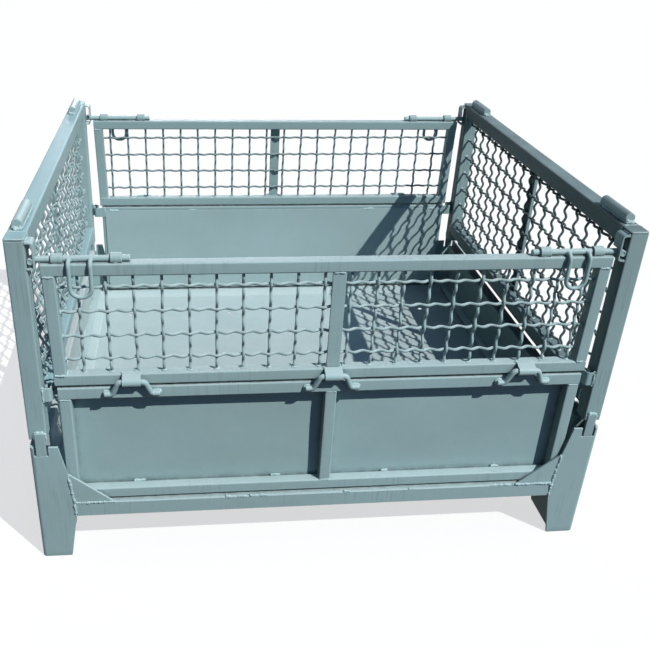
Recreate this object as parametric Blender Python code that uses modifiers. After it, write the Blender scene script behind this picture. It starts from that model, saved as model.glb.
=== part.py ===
"""Collapsible wire mesh container: steel base on four plate feet, fold-in side panels with
mesh gates hinged on top, lift-out mesh end walls, and sliding bolts with U handles."""

import math

import bmesh
import bpy
from mathutils import Matrix, Vector

# Overall sizes, in metres
LENGTH = 1.168
DEPTH = 0.990
WALL_TOP = 0.726

# Clearances
GAP = 0.0004
RUN_GAP = 0.0015
BITE = 0.0008

# Base: rails, bearers, floor and end boards
RAIL_Z = 0.106
RAIL_H = 0.036
RAIL_W = 0.035
BEARER_W = 0.040
BEARER_X = 0.180
FLOOR_T = 0.002
FLOOR_Z = 0.126
DRAIN_D = 0.012
DRAIN_PITCH = 0.295
DRAIN_ROW = 0.330
BOARD_RAIL = 0.030
BOARD_T = 0.002

# Plate feet and gussets
PLATE_T = 0.005
FOOT_TOP = 0.285
FOOT_TOP_W = 0.055
FOOT_MID_W = 0.077
FOOT_BOTTOM_W = 0.061
FOOT_LEAN = 0.008
FOOT_SIDE = 0.100
FOOT_BEND = 0.009
BRACE_REACH = 0.100
BRACE_FOOT = 0.096
BRACE_LIFT = 0.012
GUSSET_H = 0.075
GUSSET_L = 0.077
NOTCH_W = 0.028
NOTCH_OUT = 0.008
NOTCH_DEEP = 0.021

# Fold-in side panels
TUBE = 0.024
TUBE_EDGE = 0.002
FACE_BACK = 0.008
END_GAP = 0.027
PANEL_LIFT = 0.004
PANEL_TOP = 0.418
PANEL_SHEET = 0.002
SHEET_LAP = 0.014
CENTRE_OFF = 0.0085
PIVOT_R = 0.004
PIVOT_IN = 0.006
LUG_T = 0.006
LUG_W = 0.020
LUG_H = 0.012

# Mesh gates
GATE_GAP = 0.003
GATE_H = 0.252
GATE_UPRIGHT = 0.026
UPRIGHT_BACK = 0.002
WIRE_R = 0.0025
WIRE_BITE = 0.0008
PITCH = 0.050
EDGE_GATE = 0.5
EDGE_WALL = 1.0

# Gate hinges
HINGE_SIDE = 0.387
HINGE_OUT = 0.012
HINGE_RISE = 0.0145
HINGE_BAR_R = 0.0055
HINGE_STRAIGHT = 0.025
HINGE_FOOT = 0.030
HINGE_SPAN = 0.053
HINGE_DROP = 0.030
HINGE_BEND = 0.008
STRAP_W = 0.035
STRAP_T = 0.003
STRAP_FREE = 0.0009
CURL_FREE = 0.0005

# Sliding bolts and handles
BOLT_R = 0.006
BOLT_FREE = 0.0004
SLEEVE_R = 0.0105
SLEEVE_L = 0.021
SLEEVE_END = 0.013
SLEEVE_STEP = 0.103
BOLT_TIP = 0.024
BOLT_L = 0.175
HANDLE_R = 0.004
HANDLE_W = 0.038
HANDLE_IN = 0.044
HANDLE_CLEAR = 0.002
HANDLE_DROP = 0.068
HANDLE_BEND = 0.010
HANDLE_END = 0.018

# Lift-out end walls
POST = 0.036
POST_Z = 0.301
WALL_RAIL_Z = 0.328
WALL_RAIL_H = 0.030
STIFFENER_W = 0.025
STIFFENER_T = 0.008
LIP_T = 0.003
LIP_CLEAR = 0.005
TONGUE_W = 0.019
TONGUE_UP = 0.033
STACK_R = 0.010
STACK_L = 0.101
STACK_BACK = 0.044
CATCH_W = 0.028
CATCH_T = 0.003
CATCH_OUT = 0.014
CATCH_ABOVE = 0.030
CATCH_BELOW = 0.016
CATCH_BEND = 0.005
HOOK_H = 0.030
HOOK_T = 0.003
HOOK_BEND = 0.006
HOOK_REACH = 0.0165
HOOK_TURN = 0.0155
HOOK_SLACK = 0.0065
HOOK_LAP = 0.009

# Places that follow from the sizes
HALF = LENGTH / 2
FRONT = DEPTH / 2
RAIL_TOP = RAIL_Z + RAIL_H
FLOOR_TOP = FLOOR_Z + FLOOR_T
FACE = FRONT - FACE_BACK
MESH_Y = FACE - TUBE / 2
INNER = FACE - TUBE
POST_IN = HALF - POST
POST_FACE = FRONT - PLATE_T - RUN_GAP
POST_BACK = POST_FACE - POST
WALL_X = HALF - POST / 2
GATE_W = 2 * (POST_IN - END_GAP)
PANEL_W = GATE_W - 2 * RUN_GAP
PANEL_Z = RAIL_TOP + PANEL_LIFT
PIVOT = Vector((0, INNER + PIVOT_IN, PANEL_Z + PIVOT_IN))
GATE_Z = PANEL_TOP + GATE_GAP
GATE_TOP = GATE_Z + GATE_H
HINGE = Vector((0, FACE + HINGE_OUT, GATE_Z + HINGE_RISE))
BOLT_Z = GATE_TOP + SLEEVE_R - BITE
TIP_X = GATE_W / 2 + BOLT_TIP
SIDE_IN = HALF - PLATE_T - GAP
OUT_SLEEVE_X = GATE_W / 2 - SLEEVE_END - SLEEVE_L / 2
IN_SLEEVE_X = OUT_SLEEVE_X - SLEEVE_STEP
HANDLE_X = GATE_W / 2 - HANDLE_IN - HANDLE_W / 2
HOOK_TOP = PANEL_TOP
STRAP_TOP = GATE_Z + TUBE + GAP + STRAP_T
WIRE_LIFT = WIRE_R - WIRE_BITE / 2
MESH_DEEP = WIRE_LIFT + WIRE_R

PAINT = (0.235, 0.345, 0.365, 1.0)
NAME = "wire_mesh_container"
SIDES = {"left": -1, "right": 1}
ENDS = {"front": -1, "back": 1}
PLAN = Matrix.Identity(4)
FACE_ON = Matrix(((1, 0, 0, 0), (0, 0, 1, 0), (0, 1, 0, 0), (0, 0, 0, 1)))
SIDE_ON = Matrix(((0, 0, 1, 0), (1, 0, 0, 0), (0, 1, 0, 0), (0, 0, 0, 1)))


def clear_scene():
    for obj in list(bpy.data.objects):
        bpy.data.objects.remove(obj, do_unlink=True)


def collection(name):
    made = bpy.data.collections.new(name)
    bpy.context.scene.collection.children.link(made)
    return made


def temporary(data):
    obj = bpy.data.objects.new("work", data)
    bpy.context.scene.collection.objects.link(obj)
    return obj


def taken(obj):
    """The object's mesh with its modifiers, in world space, welded and facing outward."""
    bpy.context.view_layer.update()
    graph = bpy.context.evaluated_depsgraph_get()
    mesh = bpy.data.meshes.new_from_object(obj.evaluated_get(graph))
    mesh.transform(obj.matrix_world)
    bpy.data.objects.remove(obj, do_unlink=True)
    return tidy(mesh)


def tidy(mesh):
    work = bmesh.new()
    work.from_mesh(mesh)
    bmesh.ops.remove_doubles(work, verts=work.verts, dist=0.00001)
    bmesh.ops.recalc_face_normals(work, faces=work.faces)
    work.to_mesh(mesh)
    work.free()
    return mesh


def bevelled(obj, width):
    if width:
        edge = obj.modifiers.new("edge", "BEVEL")
        edge.width = width
        edge.segments = 1
        edge.limit_method = "ANGLE"
        edge.angle_limit = math.radians(40)
    return obj


def box(x, y, z, bevel=0.0):
    """A block between the pairs x, y and z."""
    work = bmesh.new()
    bmesh.ops.create_cube(work, size=1.0)
    size = Matrix.Diagonal((x[1] - x[0], y[1] - y[0], z[1] - z[0], 1))
    centre = Vector((sum(x) / 2, sum(y) / 2, sum(z) / 2))
    work.transform(Matrix.Translation(centre) @ size)
    mesh = bpy.data.meshes.new("box")
    work.to_mesh(mesh)
    work.free()
    return taken(bevelled(temporary(mesh), bevel)) if bevel else mesh


def cylinder(start, end, radius, sides):
    start, end = Vector(start), Vector(end)
    work = bmesh.new()
    bmesh.ops.create_cone(work, cap_ends=True, segments=sides, radius1=radius,
                          radius2=radius, depth=(end - start).length)
    turn = (end - start).to_track_quat("Z", "Y").to_matrix().to_4x4()
    work.transform(Matrix.Translation((start + end) / 2) @ turn)
    mesh = bpy.data.meshes.new("cylinder")
    work.to_mesh(mesh)
    work.free()
    return mesh


def poly_curve(lines, closed, flat):
    curve = bpy.data.curves.new("path", "CURVE")
    curve.dimensions = "2D" if flat else "3D"
    for line in lines:
        spline = curve.splines.new("POLY")
        spline.points.add(len(line) - 1)
        for point, place in zip(spline.points, line):
            point.co = (*place, 0.0, 1.0) if len(place) == 2 else (*place, 1.0)
        spline.use_cyclic_u = closed
    return curve


def plate(outlines, span, view, bevel=0.0):
    """A flat outline, with any holes after it, filled and extruded over span."""
    curve = poly_curve(outlines, True, True)
    curve.fill_mode = "BOTH"
    curve.extrude = (span[1] - span[0]) / 2
    obj = temporary(curve)
    mesh = taken(obj)
    mesh.transform(view @ Matrix.Translation((0, 0, sum(span) / 2)))
    return taken(bevelled(temporary(tidy(mesh)), bevel))


def strip(path, thickness, span, view):
    """A bent strip: the path as a ribbon over span, with Solidify for its thickness."""
    curve = poly_curve([path], False, False)
    curve.extrude = (span[1] - span[0]) / 2
    obj = temporary(taken(temporary(curve)))
    wall = obj.modifiers.new("wall", "SOLIDIFY")
    wall.thickness = thickness
    wall.offset = 0.0
    wall.use_even_offset = True
    mesh = taken(obj)
    mesh.transform(view @ Matrix.Translation((0, 0, sum(span) / 2)))
    return tidy(mesh)


def round_bar(path, radius, resolution):
    curve = poly_curve([path], False, False)
    curve.bevel_depth = radius
    curve.bevel_resolution = resolution
    curve.use_fill_caps = True
    return taken(temporary(curve))


def rounded(path, radius, steps=3):
    """The path with each inner corner turned into an arc."""
    path = [Vector(p) for p in path]
    out = [path[0]]
    for before, corner, after in zip(path, path[1:], path[2:]):
        a = (before - corner).normalized()
        b = (after - corner).normalized()
        half = a.angle(b) / 2
        reach = radius / math.tan(half)
        centre = corner + (a + b).normalized() * (radius / math.sin(half))
        first = corner + a * reach - centre
        last = corner + b * reach - centre
        sweep = first.angle(last)
        for i in range(steps + 1):
            t = i / steps
            arm = first * math.sin((1 - t) * sweep) + last * math.sin(t * sweep)
            out.append(centre + arm / math.sin(sweep))
    return [tuple(p) for p in out + [path[-1]]]


def boolean(mesh, others, operation):
    obj = temporary(mesh)
    tools = [temporary(other) for other in others]
    for tool in tools:
        step = obj.modifiers.new("step", "BOOLEAN")
        step.operation = operation
        step.solver = "EXACT"
        step.object = tool
    made = taken(obj)
    for tool in tools:
        bpy.data.objects.remove(tool, do_unlink=True)
    return made


def fuse(mesh, *others):
    return boolean(mesh, others, "UNION")


def cut(mesh, *others):
    return boolean(mesh, others, "DIFFERENCE")


def joined(meshes):
    work = bmesh.new()
    for mesh in meshes:
        work.from_mesh(mesh)
    made = bpy.data.meshes.new("joined")
    work.to_mesh(made)
    work.free()
    return made


def mirrored(mesh, side, end):
    """A copy of a back right piece, moved to its own side and end."""
    made = mesh.copy()
    made.transform(Matrix.Diagonal((side, end, 1, 1)))
    if side * end < 0:
        made.flip_normals()
    return made


def paint(name, shade, rough):
    made = bpy.data.materials.new(name)
    made.use_nodes = True
    shader = made.node_tree.nodes["Principled BSDF"]
    colour = [min(1.0, part * shade) for part in PAINT[:3]]
    shader.inputs["Base Color"].default_value = (*colour, 1.0)
    shader.inputs["Roughness"].default_value = rough
    shader.inputs["Metallic"].default_value = 0.1
    return made


class Body:
    """An empty on the joint's axis that carries the pieces of one moving body."""

    def __init__(self, name, pivot=(0, 0, 0), parent=None):
        self.place = Vector(pivot)
        self.empty = bpy.data.objects.new(name, None)
        self.empty.empty_display_size = 0.05
        PARTS.objects.link(self.empty)
        self.empty.location = self.place
        if parent:
            self.empty.parent = parent.empty
            self.empty.location = self.place - parent.place

    def add(self, name, mesh, shade=1.0, rough=0.45):
        mesh.transform(Matrix.Translation(-self.place))
        mesh.name = name
        mesh.materials.clear()
        mesh.materials.append(paint(name, shade, rough))
        obj = bpy.data.objects.new(name, mesh)
        PARTS.objects.link(obj)
        obj.parent = self.empty
        return obj


def rectangle(u, v):
    return [(u[0], v[0]), (u[1], v[0]), (u[1], v[1]), (u[0], v[1])]


def clipped(u, v, corner):
    """A rectangle with its corners cut off."""
    (a, b), (c, d), k = u, v, corner
    return [(a + k, c), (b - k, c), (b, c + k), (b, d - k), (b - k, d), (a + k, d), (a, d - k), (a, c + k)]


def wire_count(opening, edge):
    return max(2, round(opening / PITCH - 2 * edge) + 1)


def wire_mesh(across, up, edges, plane, view, off=0.0):
    """Wires both ways over the opening, in two layers that bite at each crossing."""
    layers = []
    for axis, (run, spread, edge) in enumerate(((up, across, edges[0]), (across, up, edges[1]))):
        count = wire_count(spread[1] - spread[0], edge)
        middle = sum(spread) / 2 + (0.0 if axis else off)
        level = plane + (WIRE_LIFT if axis else -WIRE_LIFT)
        wires = []
        for i in range(count):
            at = middle + (i - (count - 1) / 2) * PITCH
            ends = [(end, at, level) if axis else (at, end, level) for end in (run[0] + GAP, run[1] - GAP)]
            wires.append(cylinder(*ends, WIRE_R, 4))
        layers.append(joined(wires))
    mesh = fuse(*layers)
    mesh.transform(view)
    return tidy(mesh)


def base_rails():
    step = HALF - FOOT_MID_W - GAP
    stub = FRONT - FOOT_BEND
    inner_y = FRONT - RAIL_W
    inner_x = SIDE_IN - RAIL_W
    frame = plate([rectangle((-SIDE_IN, SIDE_IN), (-stub, stub)),
                   rectangle((-inner_x, inner_x), (-inner_y - RUN_GAP, inner_y + RUN_GAP))],
                  (RAIL_Z + BITE, RAIL_TOP - BITE), PLAN)
    pieces = []
    for end in (-1, 1):
        rail = box((-step, step), (inner_y, FRONT), (RAIL_Z, RAIL_TOP), TUBE_EDGE)
        pieces.append(mirrored(rail, 1, end))
    for side in (-1, 1):
        centre = side * BEARER_X
        pieces.append(box((centre - BEARER_W / 2, centre + BEARER_W / 2),
                          (-inner_y - RUN_GAP, inner_y + RUN_GAP), (RAIL_Z + 2 * BITE, FLOOR_Z - GAP)))
    bores = []
    lug_x = PANEL_W / 2 + LUG_T
    for side in (-1, 1):
        for end in (-1, 1):
            lug = box((lug_x, lug_x + LUG_T), (PIVOT.y - LUG_W / 2, PIVOT.y + LUG_W / 2),
                      (RAIL_TOP - 4 * TUBE_EDGE, PIVOT.z + LUG_H))
            bore = cylinder((lug_x - LUG_T, PIVOT.y, PIVOT.z), (lug_x + 2 * LUG_T, PIVOT.y, PIVOT.z),
                            PIVOT_R + GAP, 12)
            pieces.append(mirrored(lug, side, end))
            bores.append(mirrored(bore, side, end))
    return cut(fuse(frame, *pieces), *bores)


def floor_sheet():
    x = SIDE_IN - RAIL_W - GAP
    y = FRONT - RAIL_W - GAP
    sheet = box((-x, x), (-y, y), (FLOOR_Z, FLOOR_TOP))
    drills = []
    for i in range(4):
        for row in (-DRAIN_ROW, DRAIN_ROW):
            at = (i - 1.5) * DRAIN_PITCH
            drills.append(cylinder((at, row, FLOOR_Z - FLOOR_T), (at, row, FLOOR_TOP + FLOOR_T), DRAIN_D / 2, 10))
    return cut(sheet, joined(drills))


def end_board():
    y = POST_BACK - RUN_GAP
    rail = box((SIDE_IN - BOARD_RAIL, SIDE_IN), (-y, y), (FOOT_TOP - BOARD_RAIL, FOOT_TOP), TUBE_EDGE)
    middle = SIDE_IN - BOARD_RAIL / 2
    sheet = box((middle - BOARD_T / 2, middle + BOARD_T / 2), (BITE - y, y - BITE),
                (RAIL_TOP - BITE + GAP, FOOT_TOP - BOARD_RAIL + 2 * BITE))
    return fuse(rail, sheet)


def foot_edge():
    """The front plate's inner edge, from the ground up, as points of x and z."""
    rise = RAIL_TOP + GUSSET_H
    corner = HALF - FOOT_MID_W
    return [(HALF - FOOT_BOTTOM_W, 0.0), (corner, RAIL_Z - PLATE_T), (corner, RAIL_TOP),
            (corner + FOOT_LEAN, rise), (HALF - FOOT_TOP_W, FOOT_TOP)]


def foot():
    start = HALF - FOOT_MID_W - 4 * PLATE_T
    middle = FRONT - PLATE_T / 2
    path = rounded([(start, middle), (HALF - PLATE_T / 2, middle), (HALF - PLATE_T / 2, FRONT - FOOT_SIDE)],
                   FOOT_BEND - PLATE_T / 2)
    shell = strip(path, PLATE_T, (0.0, FOOT_TOP), PLAN)
    edge = foot_edge()
    past = 2 * PLATE_T
    waste = [(edge[0][0], -past)] + edge + [(edge[-1][0], FOOT_TOP + past), (start - past, FOOT_TOP + past),
                                            (start - past, -past)]
    trim = plate([waste], (FRONT - 2 * PLATE_T, FRONT + PLATE_T), FACE_ON)
    notch_x = HALF - NOTCH_OUT
    notch = box((notch_x - NOTCH_W, notch_x), (FRONT - 2 * PLATE_T, FRONT + PLATE_T),
                (FOOT_TOP - NOTCH_DEEP, FOOT_TOP + past))
    brace_x = HALF - FOOT_BOTTOM_W + BITE
    bite = FRONT - PLATE_T / 2
    under = RAIL_Z - GAP
    brace = plate([[(bite, BRACE_LIFT), (bite, under), (FRONT - BRACE_REACH, under),
                    (FRONT - BRACE_FOOT, BRACE_LIFT)]], (brace_x, brace_x + PLATE_T), SIDE_ON)
    return fuse(cut(shell, trim, notch), brace)


def gusset():
    corner, top = foot_edge()[2:4]
    outline = [(corner[0] - GUSSET_L, RAIL_TOP + GAP), (corner[0] - GAP, RAIL_TOP + GAP),
               (top[0] - GAP, top[1] - GAP), (corner[0] - GUSSET_L, RAIL_TOP + 2 * GAP + RUN_GAP)]
    return plate([outline], (FRONT - PLATE_T, FRONT), FACE_ON)


def panel_frame(off):
    half = PANEL_W / 2
    ring = plate([rectangle((-half, half), (PANEL_Z, PANEL_TOP)),
                  rectangle((TUBE - half, half - TUBE), (PANEL_Z + TUBE, PANEL_TOP - TUBE))],
                 (INNER, FACE), FACE_ON, TUBE_EDGE)
    pieces = [box((off - TUBE / 2, off + TUBE / 2), (INNER + BITE, FACE - BITE),
                  (PANEL_Z + TUBE - 2 * TUBE_EDGE, PANEL_TOP - TUBE + 2 * TUBE_EDGE))]
    level = INNER - HOOK_T / 2 + BITE
    tip = POST_IN - HOOK_REACH + HOOK_T + HOOK_SLACK
    path = rounded([(half - HOOK_LAP, level), (tip, level), (tip, level + HOOK_TURN)], HOOK_BEND)
    hook = strip(path, HOOK_T, (HOOK_TOP - HOOK_H, HOOK_TOP - TUBE_EDGE), PLAN)
    pin = cylinder((half - 2 * TUBE_EDGE, PIVOT.y, PIVOT.z),
                   (half + 2 * LUG_T - RUN_GAP, PIVOT.y, PIVOT.z), PIVOT_R, 12)
    for side in (-1, 1):
        pieces += [mirrored(hook, side, 1), mirrored(pin, side, 1)]
    return fuse(ring, *pieces)


def panel_sheet():
    """The sheet lies on the frame's inner face."""
    edge = TUBE - SHEET_LAP
    half = PANEL_W / 2 - edge
    outline = clipped((-half, half), (PANEL_Z + edge, PANEL_TOP - edge), TUBE_EDGE)
    return plate([outline], (INNER - GAP - PANEL_SHEET, INNER - GAP), FACE_ON)


def hinge_bar(at):
    out = FACE + HINGE_BAR_R + GAP
    low = HINGE.z - HINGE_DROP
    half = [(HINGE_STRAIGHT, HINGE.y, HINGE.z), (HINGE_FOOT, out, low), (HINGE_SPAN, out, low)]
    path = [(at - x, y, z) for x, y, z in reversed(half)] + [(at + x, y, z) for x, y, z in half]
    return round_bar(rounded(path, HINGE_BEND, 2), HINGE_BAR_R, 2)


def hinge_strap(at):
    radius = HINGE_BAR_R + CURL_FREE + STRAP_T / 2
    level = STRAP_TOP - STRAP_T / 2
    path = [(MESH_Y + MESH_DEEP + STRAP_FREE, level), (FACE + STRAP_T / 2, level)]
    steps = 11
    for i in range(steps + 1):
        turn = math.radians(70 - 290 * i / steps)
        path.append((HINGE.y + radius * math.cos(turn), HINGE.z + radius * math.sin(turn)))
    return strip(path, STRAP_T, (at - STRAP_W / 2, at + STRAP_W / 2), SIDE_ON)


def gate_frame(off):
    half = GATE_W / 2
    ring = plate([rectangle((-half, half), (GATE_Z, GATE_TOP)),
                  rectangle((TUBE - half, half - TUBE), (GATE_Z + TUBE, GATE_TOP - TUBE))],
                 (INNER, FACE), FACE_ON, TUBE_EDGE)
    back = MESH_Y + MESH_DEEP + GAP
    pieces = [box((off - GATE_UPRIGHT / 2, off + GATE_UPRIGHT / 2), (back, FACE - UPRIGHT_BACK),
                  (STRAP_TOP + GAP, GATE_TOP - TUBE + 2 * TUBE_EDGE))]
    bores = []
    for side in (-1, 1):
        for middle in (OUT_SLEEVE_X, IN_SLEEVE_X):
            x = side * middle
            ends = [(x - SLEEVE_L / 2, MESH_Y, BOLT_Z), (x + SLEEVE_L / 2, MESH_Y, BOLT_Z)]
            pieces.append(cylinder(*ends, SLEEVE_R, 16))
            bores.append(cylinder((x - SLEEVE_L, MESH_Y, BOLT_Z), (x + SLEEVE_L, MESH_Y, BOLT_Z),
                                  BOLT_R + BOLT_FREE, 16))
    return cut(fuse(ring, *pieces), *bores)


def bolt_rod():
    return cylinder((TIP_X - BOLT_L, MESH_Y, BOLT_Z), (TIP_X, MESH_Y, BOLT_Z), BOLT_R, 16)


def bolt_handle():
    start = MESH_Y + BOLT_R + GAP
    out = FACE + HANDLE_CLEAR + HANDLE_R
    low = BOLT_Z - HANDLE_DROP
    path = [(HANDLE_X - HANDLE_W / 2, start, BOLT_Z), (HANDLE_X - HANDLE_W / 2, out, BOLT_Z - GAP),
            (HANDLE_X - HANDLE_W / 2, out, low), (HANDLE_X + HANDLE_W / 2, out, low),
            (HANDLE_X + HANDLE_W / 2, out, BOLT_Z - GAP), (HANDLE_X + HANDLE_W / 2, start, BOLT_Z)]
    top = rounded(path[:3], HANDLE_BEND, 2)[:-1]
    loop = rounded(path[1:5], HANDLE_END, 4)[1:-1]
    return round_bar(top + loop + [(2 * HANDLE_X - x, y, z) for x, y, z in reversed(top)], HANDLE_R, 2)


def wall_frame():
    y = POST_FACE
    inside = POST_BACK
    outline = [(-y, POST_Z), (-inside, POST_Z), (-inside, WALL_RAIL_Z), (inside, WALL_RAIL_Z),
               (inside, POST_Z), (y, POST_Z), (y, WALL_TOP), (-y, WALL_TOP)]
    hole = rectangle((-inside, inside), (WALL_RAIL_Z + WALL_RAIL_H, WALL_TOP - POST))
    frame = plate([outline, hole], (POST_IN, HALF), SIDE_ON, TUBE_EDGE)
    back = WALL_X + MESH_DEEP + GAP
    pieces = [box((back, back + STIFFENER_T), (-STIFFENER_W / 2, STIFFENER_W / 2),
                  (WALL_RAIL_Z + WALL_RAIL_H - BITE, WALL_TOP - POST + BITE))]
    # The lip under the rail hangs down over the gap above the end board
    lip_x = HALF - TUBE_EDGE
    pieces.append(box((lip_x - LIP_T, lip_x), (-inside - BITE, inside + BITE),
                      (FOOT_TOP + LIP_CLEAR, WALL_RAIL_Z + BITE)))
    tongue_x = HALF - NOTCH_OUT - (NOTCH_W - TONGUE_W) / 2
    tongue = box((tongue_x - TONGUE_W, tongue_x), (POST_FACE - BITE, FRONT - GAP),
                 (FOOT_TOP - NOTCH_DEEP + GAP, FOOT_TOP + TONGUE_UP))
    for end in (-1, 1):
        pieces.append(mirrored(tongue, 1, end))
    return fuse(frame, *pieces)


def bolt_catch():
    post = POST_IN - GAP
    web = POST_IN - CATCH_OUT + CATCH_T / 2
    top = BOLT_Z + CATCH_ABOVE - CATCH_T / 2
    low = BOLT_Z - CATCH_BELOW + CATCH_T / 2
    path = rounded([(post, top), (web, top), (web, low), (post, low)], CATCH_BEND)
    clip = strip(path, CATCH_T, (MESH_Y - CATCH_W / 2, MESH_Y + CATCH_W / 2), FACE_ON)
    bore = cylinder((web - CATCH_T, MESH_Y, BOLT_Z), (web + CATCH_T, MESH_Y, BOLT_Z), BOLT_R + RUN_GAP, 16)
    return cut(clip, bore)


def post_hook():
    level = POST_FACE - HOOK_T
    turn = POST_IN - HOOK_REACH
    path = rounded([(POST_IN - GAP, level), (turn, level), (turn, level - HOOK_TURN)], HOOK_BEND)
    return strip(path, HOOK_T, (HOOK_TOP - HOOK_H, HOOK_TOP), PLAN)


def stack_bar():
    level = WALL_TOP + GAP + STACK_R
    end = POST_FACE - STACK_BACK
    return cylinder((WALL_X, end - STACK_L, level), (WALL_X, end, level), STACK_R, 14)


def build_base():
    base = Body("base")
    base.add("base_rails", base_rails(), 0.95)
    base.add("floor_sheet", floor_sheet(), 1.05, 0.5)
    for side, sx in SIDES.items():
        base.add(f"end_board_{side}", mirrored(end_board(), sx, 1), 0.97)
        for end, sy in ENDS.items():
            base.add(f"foot_{end}_{side}", mirrored(foot(), sx, sy))
            base.add(f"gusset_{end}_{side}", mirrored(gusset(), sx, sy), 1.02)
    return base


def build_side(base, end, sy):
    """A panel, its gate and the gate's two bolts. The back is the front turned round."""
    turn = Matrix.Diagonal((1, sy, 1, 1))
    off = -sy * CENTRE_OFF
    panel = Body(f"{end}_panel", turn @ PIVOT, base)
    panel.add(f"panel_frame_{end}", mirrored(panel_frame(off), 1, sy))
    panel.add(f"panel_sheet_{end}", mirrored(panel_sheet(), 1, sy), 1.04, 0.5)
    gate = Body(f"{end}_gate", turn @ HINGE, panel)
    gate.add(f"gate_frame_{end}", mirrored(gate_frame(off), 1, sy))
    mesh = wire_mesh((TUBE - GATE_W / 2, GATE_W / 2 - TUBE), (GATE_Z + TUBE, GATE_TOP - TUBE),
                     (EDGE_GATE, EDGE_GATE), MESH_Y, FACE_ON, off)
    gate.add(f"gate_mesh_{end}", mirrored(mesh, 1, sy), 1.03, 0.4)
    for i, at in enumerate((off - HINGE_SIDE, off, off + HINGE_SIDE)):
        panel.add(f"hinge_bar_{end}_{i + 1}", mirrored(hinge_bar(at), 1, sy), 1.05)
        gate.add(f"hinge_strap_{end}_{i + 1}", mirrored(hinge_strap(at), 1, sy), 1.05)
    for side, sx in SIDES.items():
        axis = Vector((sx * HANDLE_X, sy * MESH_Y, BOLT_Z))
        bolt = Body(f"bolt_{end}_{side}", axis, gate)
        bolt.add(f"bolt_rod_{end}_{side}", mirrored(bolt_rod(), sx, sy), 1.06, 0.38)
        handle = Body(f"handle_{end}_{side}", axis, bolt)
        handle.add(f"bolt_handle_{end}_{side}", mirrored(bolt_handle(), sx, sy), 1.06, 0.38)


def build_wall(base, side, sx):
    wall = Body(f"{side}_wall", (sx * WALL_X, 0, WALL_RAIL_Z), base)
    wall.add(f"wall_frame_{side}", mirrored(wall_frame(), sx, 1))
    mesh = wire_mesh((-POST_BACK, POST_BACK), (WALL_RAIL_Z + WALL_RAIL_H, WALL_TOP - POST),
                     (EDGE_WALL, EDGE_GATE), WALL_X, SIDE_ON)
    wall.add(f"wall_mesh_{side}", mirrored(mesh, sx, 1), 1.03, 0.4)
    for end, sy in ENDS.items():
        wall.add(f"bolt_catch_{end}_{side}", mirrored(bolt_catch(), sx, sy), 1.05)
        wall.add(f"post_hook_{end}_{side}", mirrored(post_hook(), sx, sy), 1.05)
        wall.add(f"stack_bar_{end}_{side}", mirrored(stack_bar(), sx, sy), 1.05)


clear_scene()
PARTS = collection(NAME)
BASE = build_base()
for END, SIGN in ENDS.items():
    build_side(BASE, END, SIGN)
for SIDE, SIGN in SIDES.items():
    build_wall(BASE, SIDE, SIGN)
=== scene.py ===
"""Looks of the wire mesh container: worn painted steel tube, crimped wire and weld beads on the CAD frame."""

import math
import random

import bmesh
import bpy
from mathutils import Matrix, Vector, noise


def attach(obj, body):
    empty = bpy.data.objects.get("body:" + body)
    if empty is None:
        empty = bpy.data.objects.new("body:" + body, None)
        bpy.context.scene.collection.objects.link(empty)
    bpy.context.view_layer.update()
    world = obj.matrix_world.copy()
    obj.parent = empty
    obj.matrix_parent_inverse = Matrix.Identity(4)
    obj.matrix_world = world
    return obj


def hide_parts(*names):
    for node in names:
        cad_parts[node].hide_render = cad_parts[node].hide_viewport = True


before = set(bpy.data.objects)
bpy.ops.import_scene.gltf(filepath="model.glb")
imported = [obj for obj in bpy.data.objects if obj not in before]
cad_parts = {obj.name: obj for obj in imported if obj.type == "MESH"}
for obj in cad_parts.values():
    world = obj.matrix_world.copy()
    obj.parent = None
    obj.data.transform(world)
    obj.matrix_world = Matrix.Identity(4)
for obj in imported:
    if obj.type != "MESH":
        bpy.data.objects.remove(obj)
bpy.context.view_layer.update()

# Sizes in metres, of the pieces at the back right, which the others mirror. Most are the CAD model's.
# The gate's, the panel's top rail, the sheet's, the catch's top and the cove are a few millimetres off it,
# as the photograph shows.
HALF, FRONT, WALL_TOP = 0.584, 0.495, 0.726
FACE, MESH_Y, INNER = 0.487, 0.475, 0.463
RAIL_Z, RAIL_TOP, FLOOR_Z, FLOOR_T = 0.106, 0.142, 0.126, 0.002
RAIL_W, SIDE_IN = 0.035, 0.5786
COVE, COVE_LIP, COVE_IN, COVE_UP = 0.022, 0.0012, 0.009, 0.006
TUBE, TUBE_R, GAP, CENTRE_OFF = 0.024, 0.0032, 0.0004, 0.0085
PANEL_HALF, PANEL_Z, PANEL_TOP = 0.5195, 0.146, 0.4172
SHEET_HALF, SHEET_LOW, SHEET_TOP, SHEET_Y, SHEET_T = 0.5095, 0.150, 0.408, 0.4609, 0.002
HOOK_X, HOOK_TIP, HOOK_Y, HOOK_Z, HOOK_H, HOOK_TURN = 0.5105, 0.541, 0.4623, 0.402, 0.028, 0.0155
PIVOT_Y, PIVOT_Z, PIVOT_R, PIVOT_IN, PIVOT_OUT = 0.469, 0.152, 0.004, -0.004, 0.0105
GATE_LOW_HALF, GATE_TOP_HALF, GATE_Z, GATE_TOP, GATE_UPRIGHT = 0.5235, 0.527, 0.422, 0.6762, 0.026
MESH_RISE, PANEL_RAIL_H, PANEL_UPRIGHT_D, SHEET_GAP = 0.002, 0.0265, 0.0224, 0.002
WIRE_R, PITCH, CRIMP = 0.0029, 0.05, 0.003
HINGE_Y, HINGE_Z, HINGE_SIDE, HINGE_BAR_R = 0.499, 0.4355, 0.387, 0.0055
HINGE_FOOT_Y, HINGE_FOOT_Z, HINGE_RUN, HINGE_FOOT, HINGE_SPAN = 0.4929, 0.4055, 0.025, 0.037, 0.053
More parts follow.
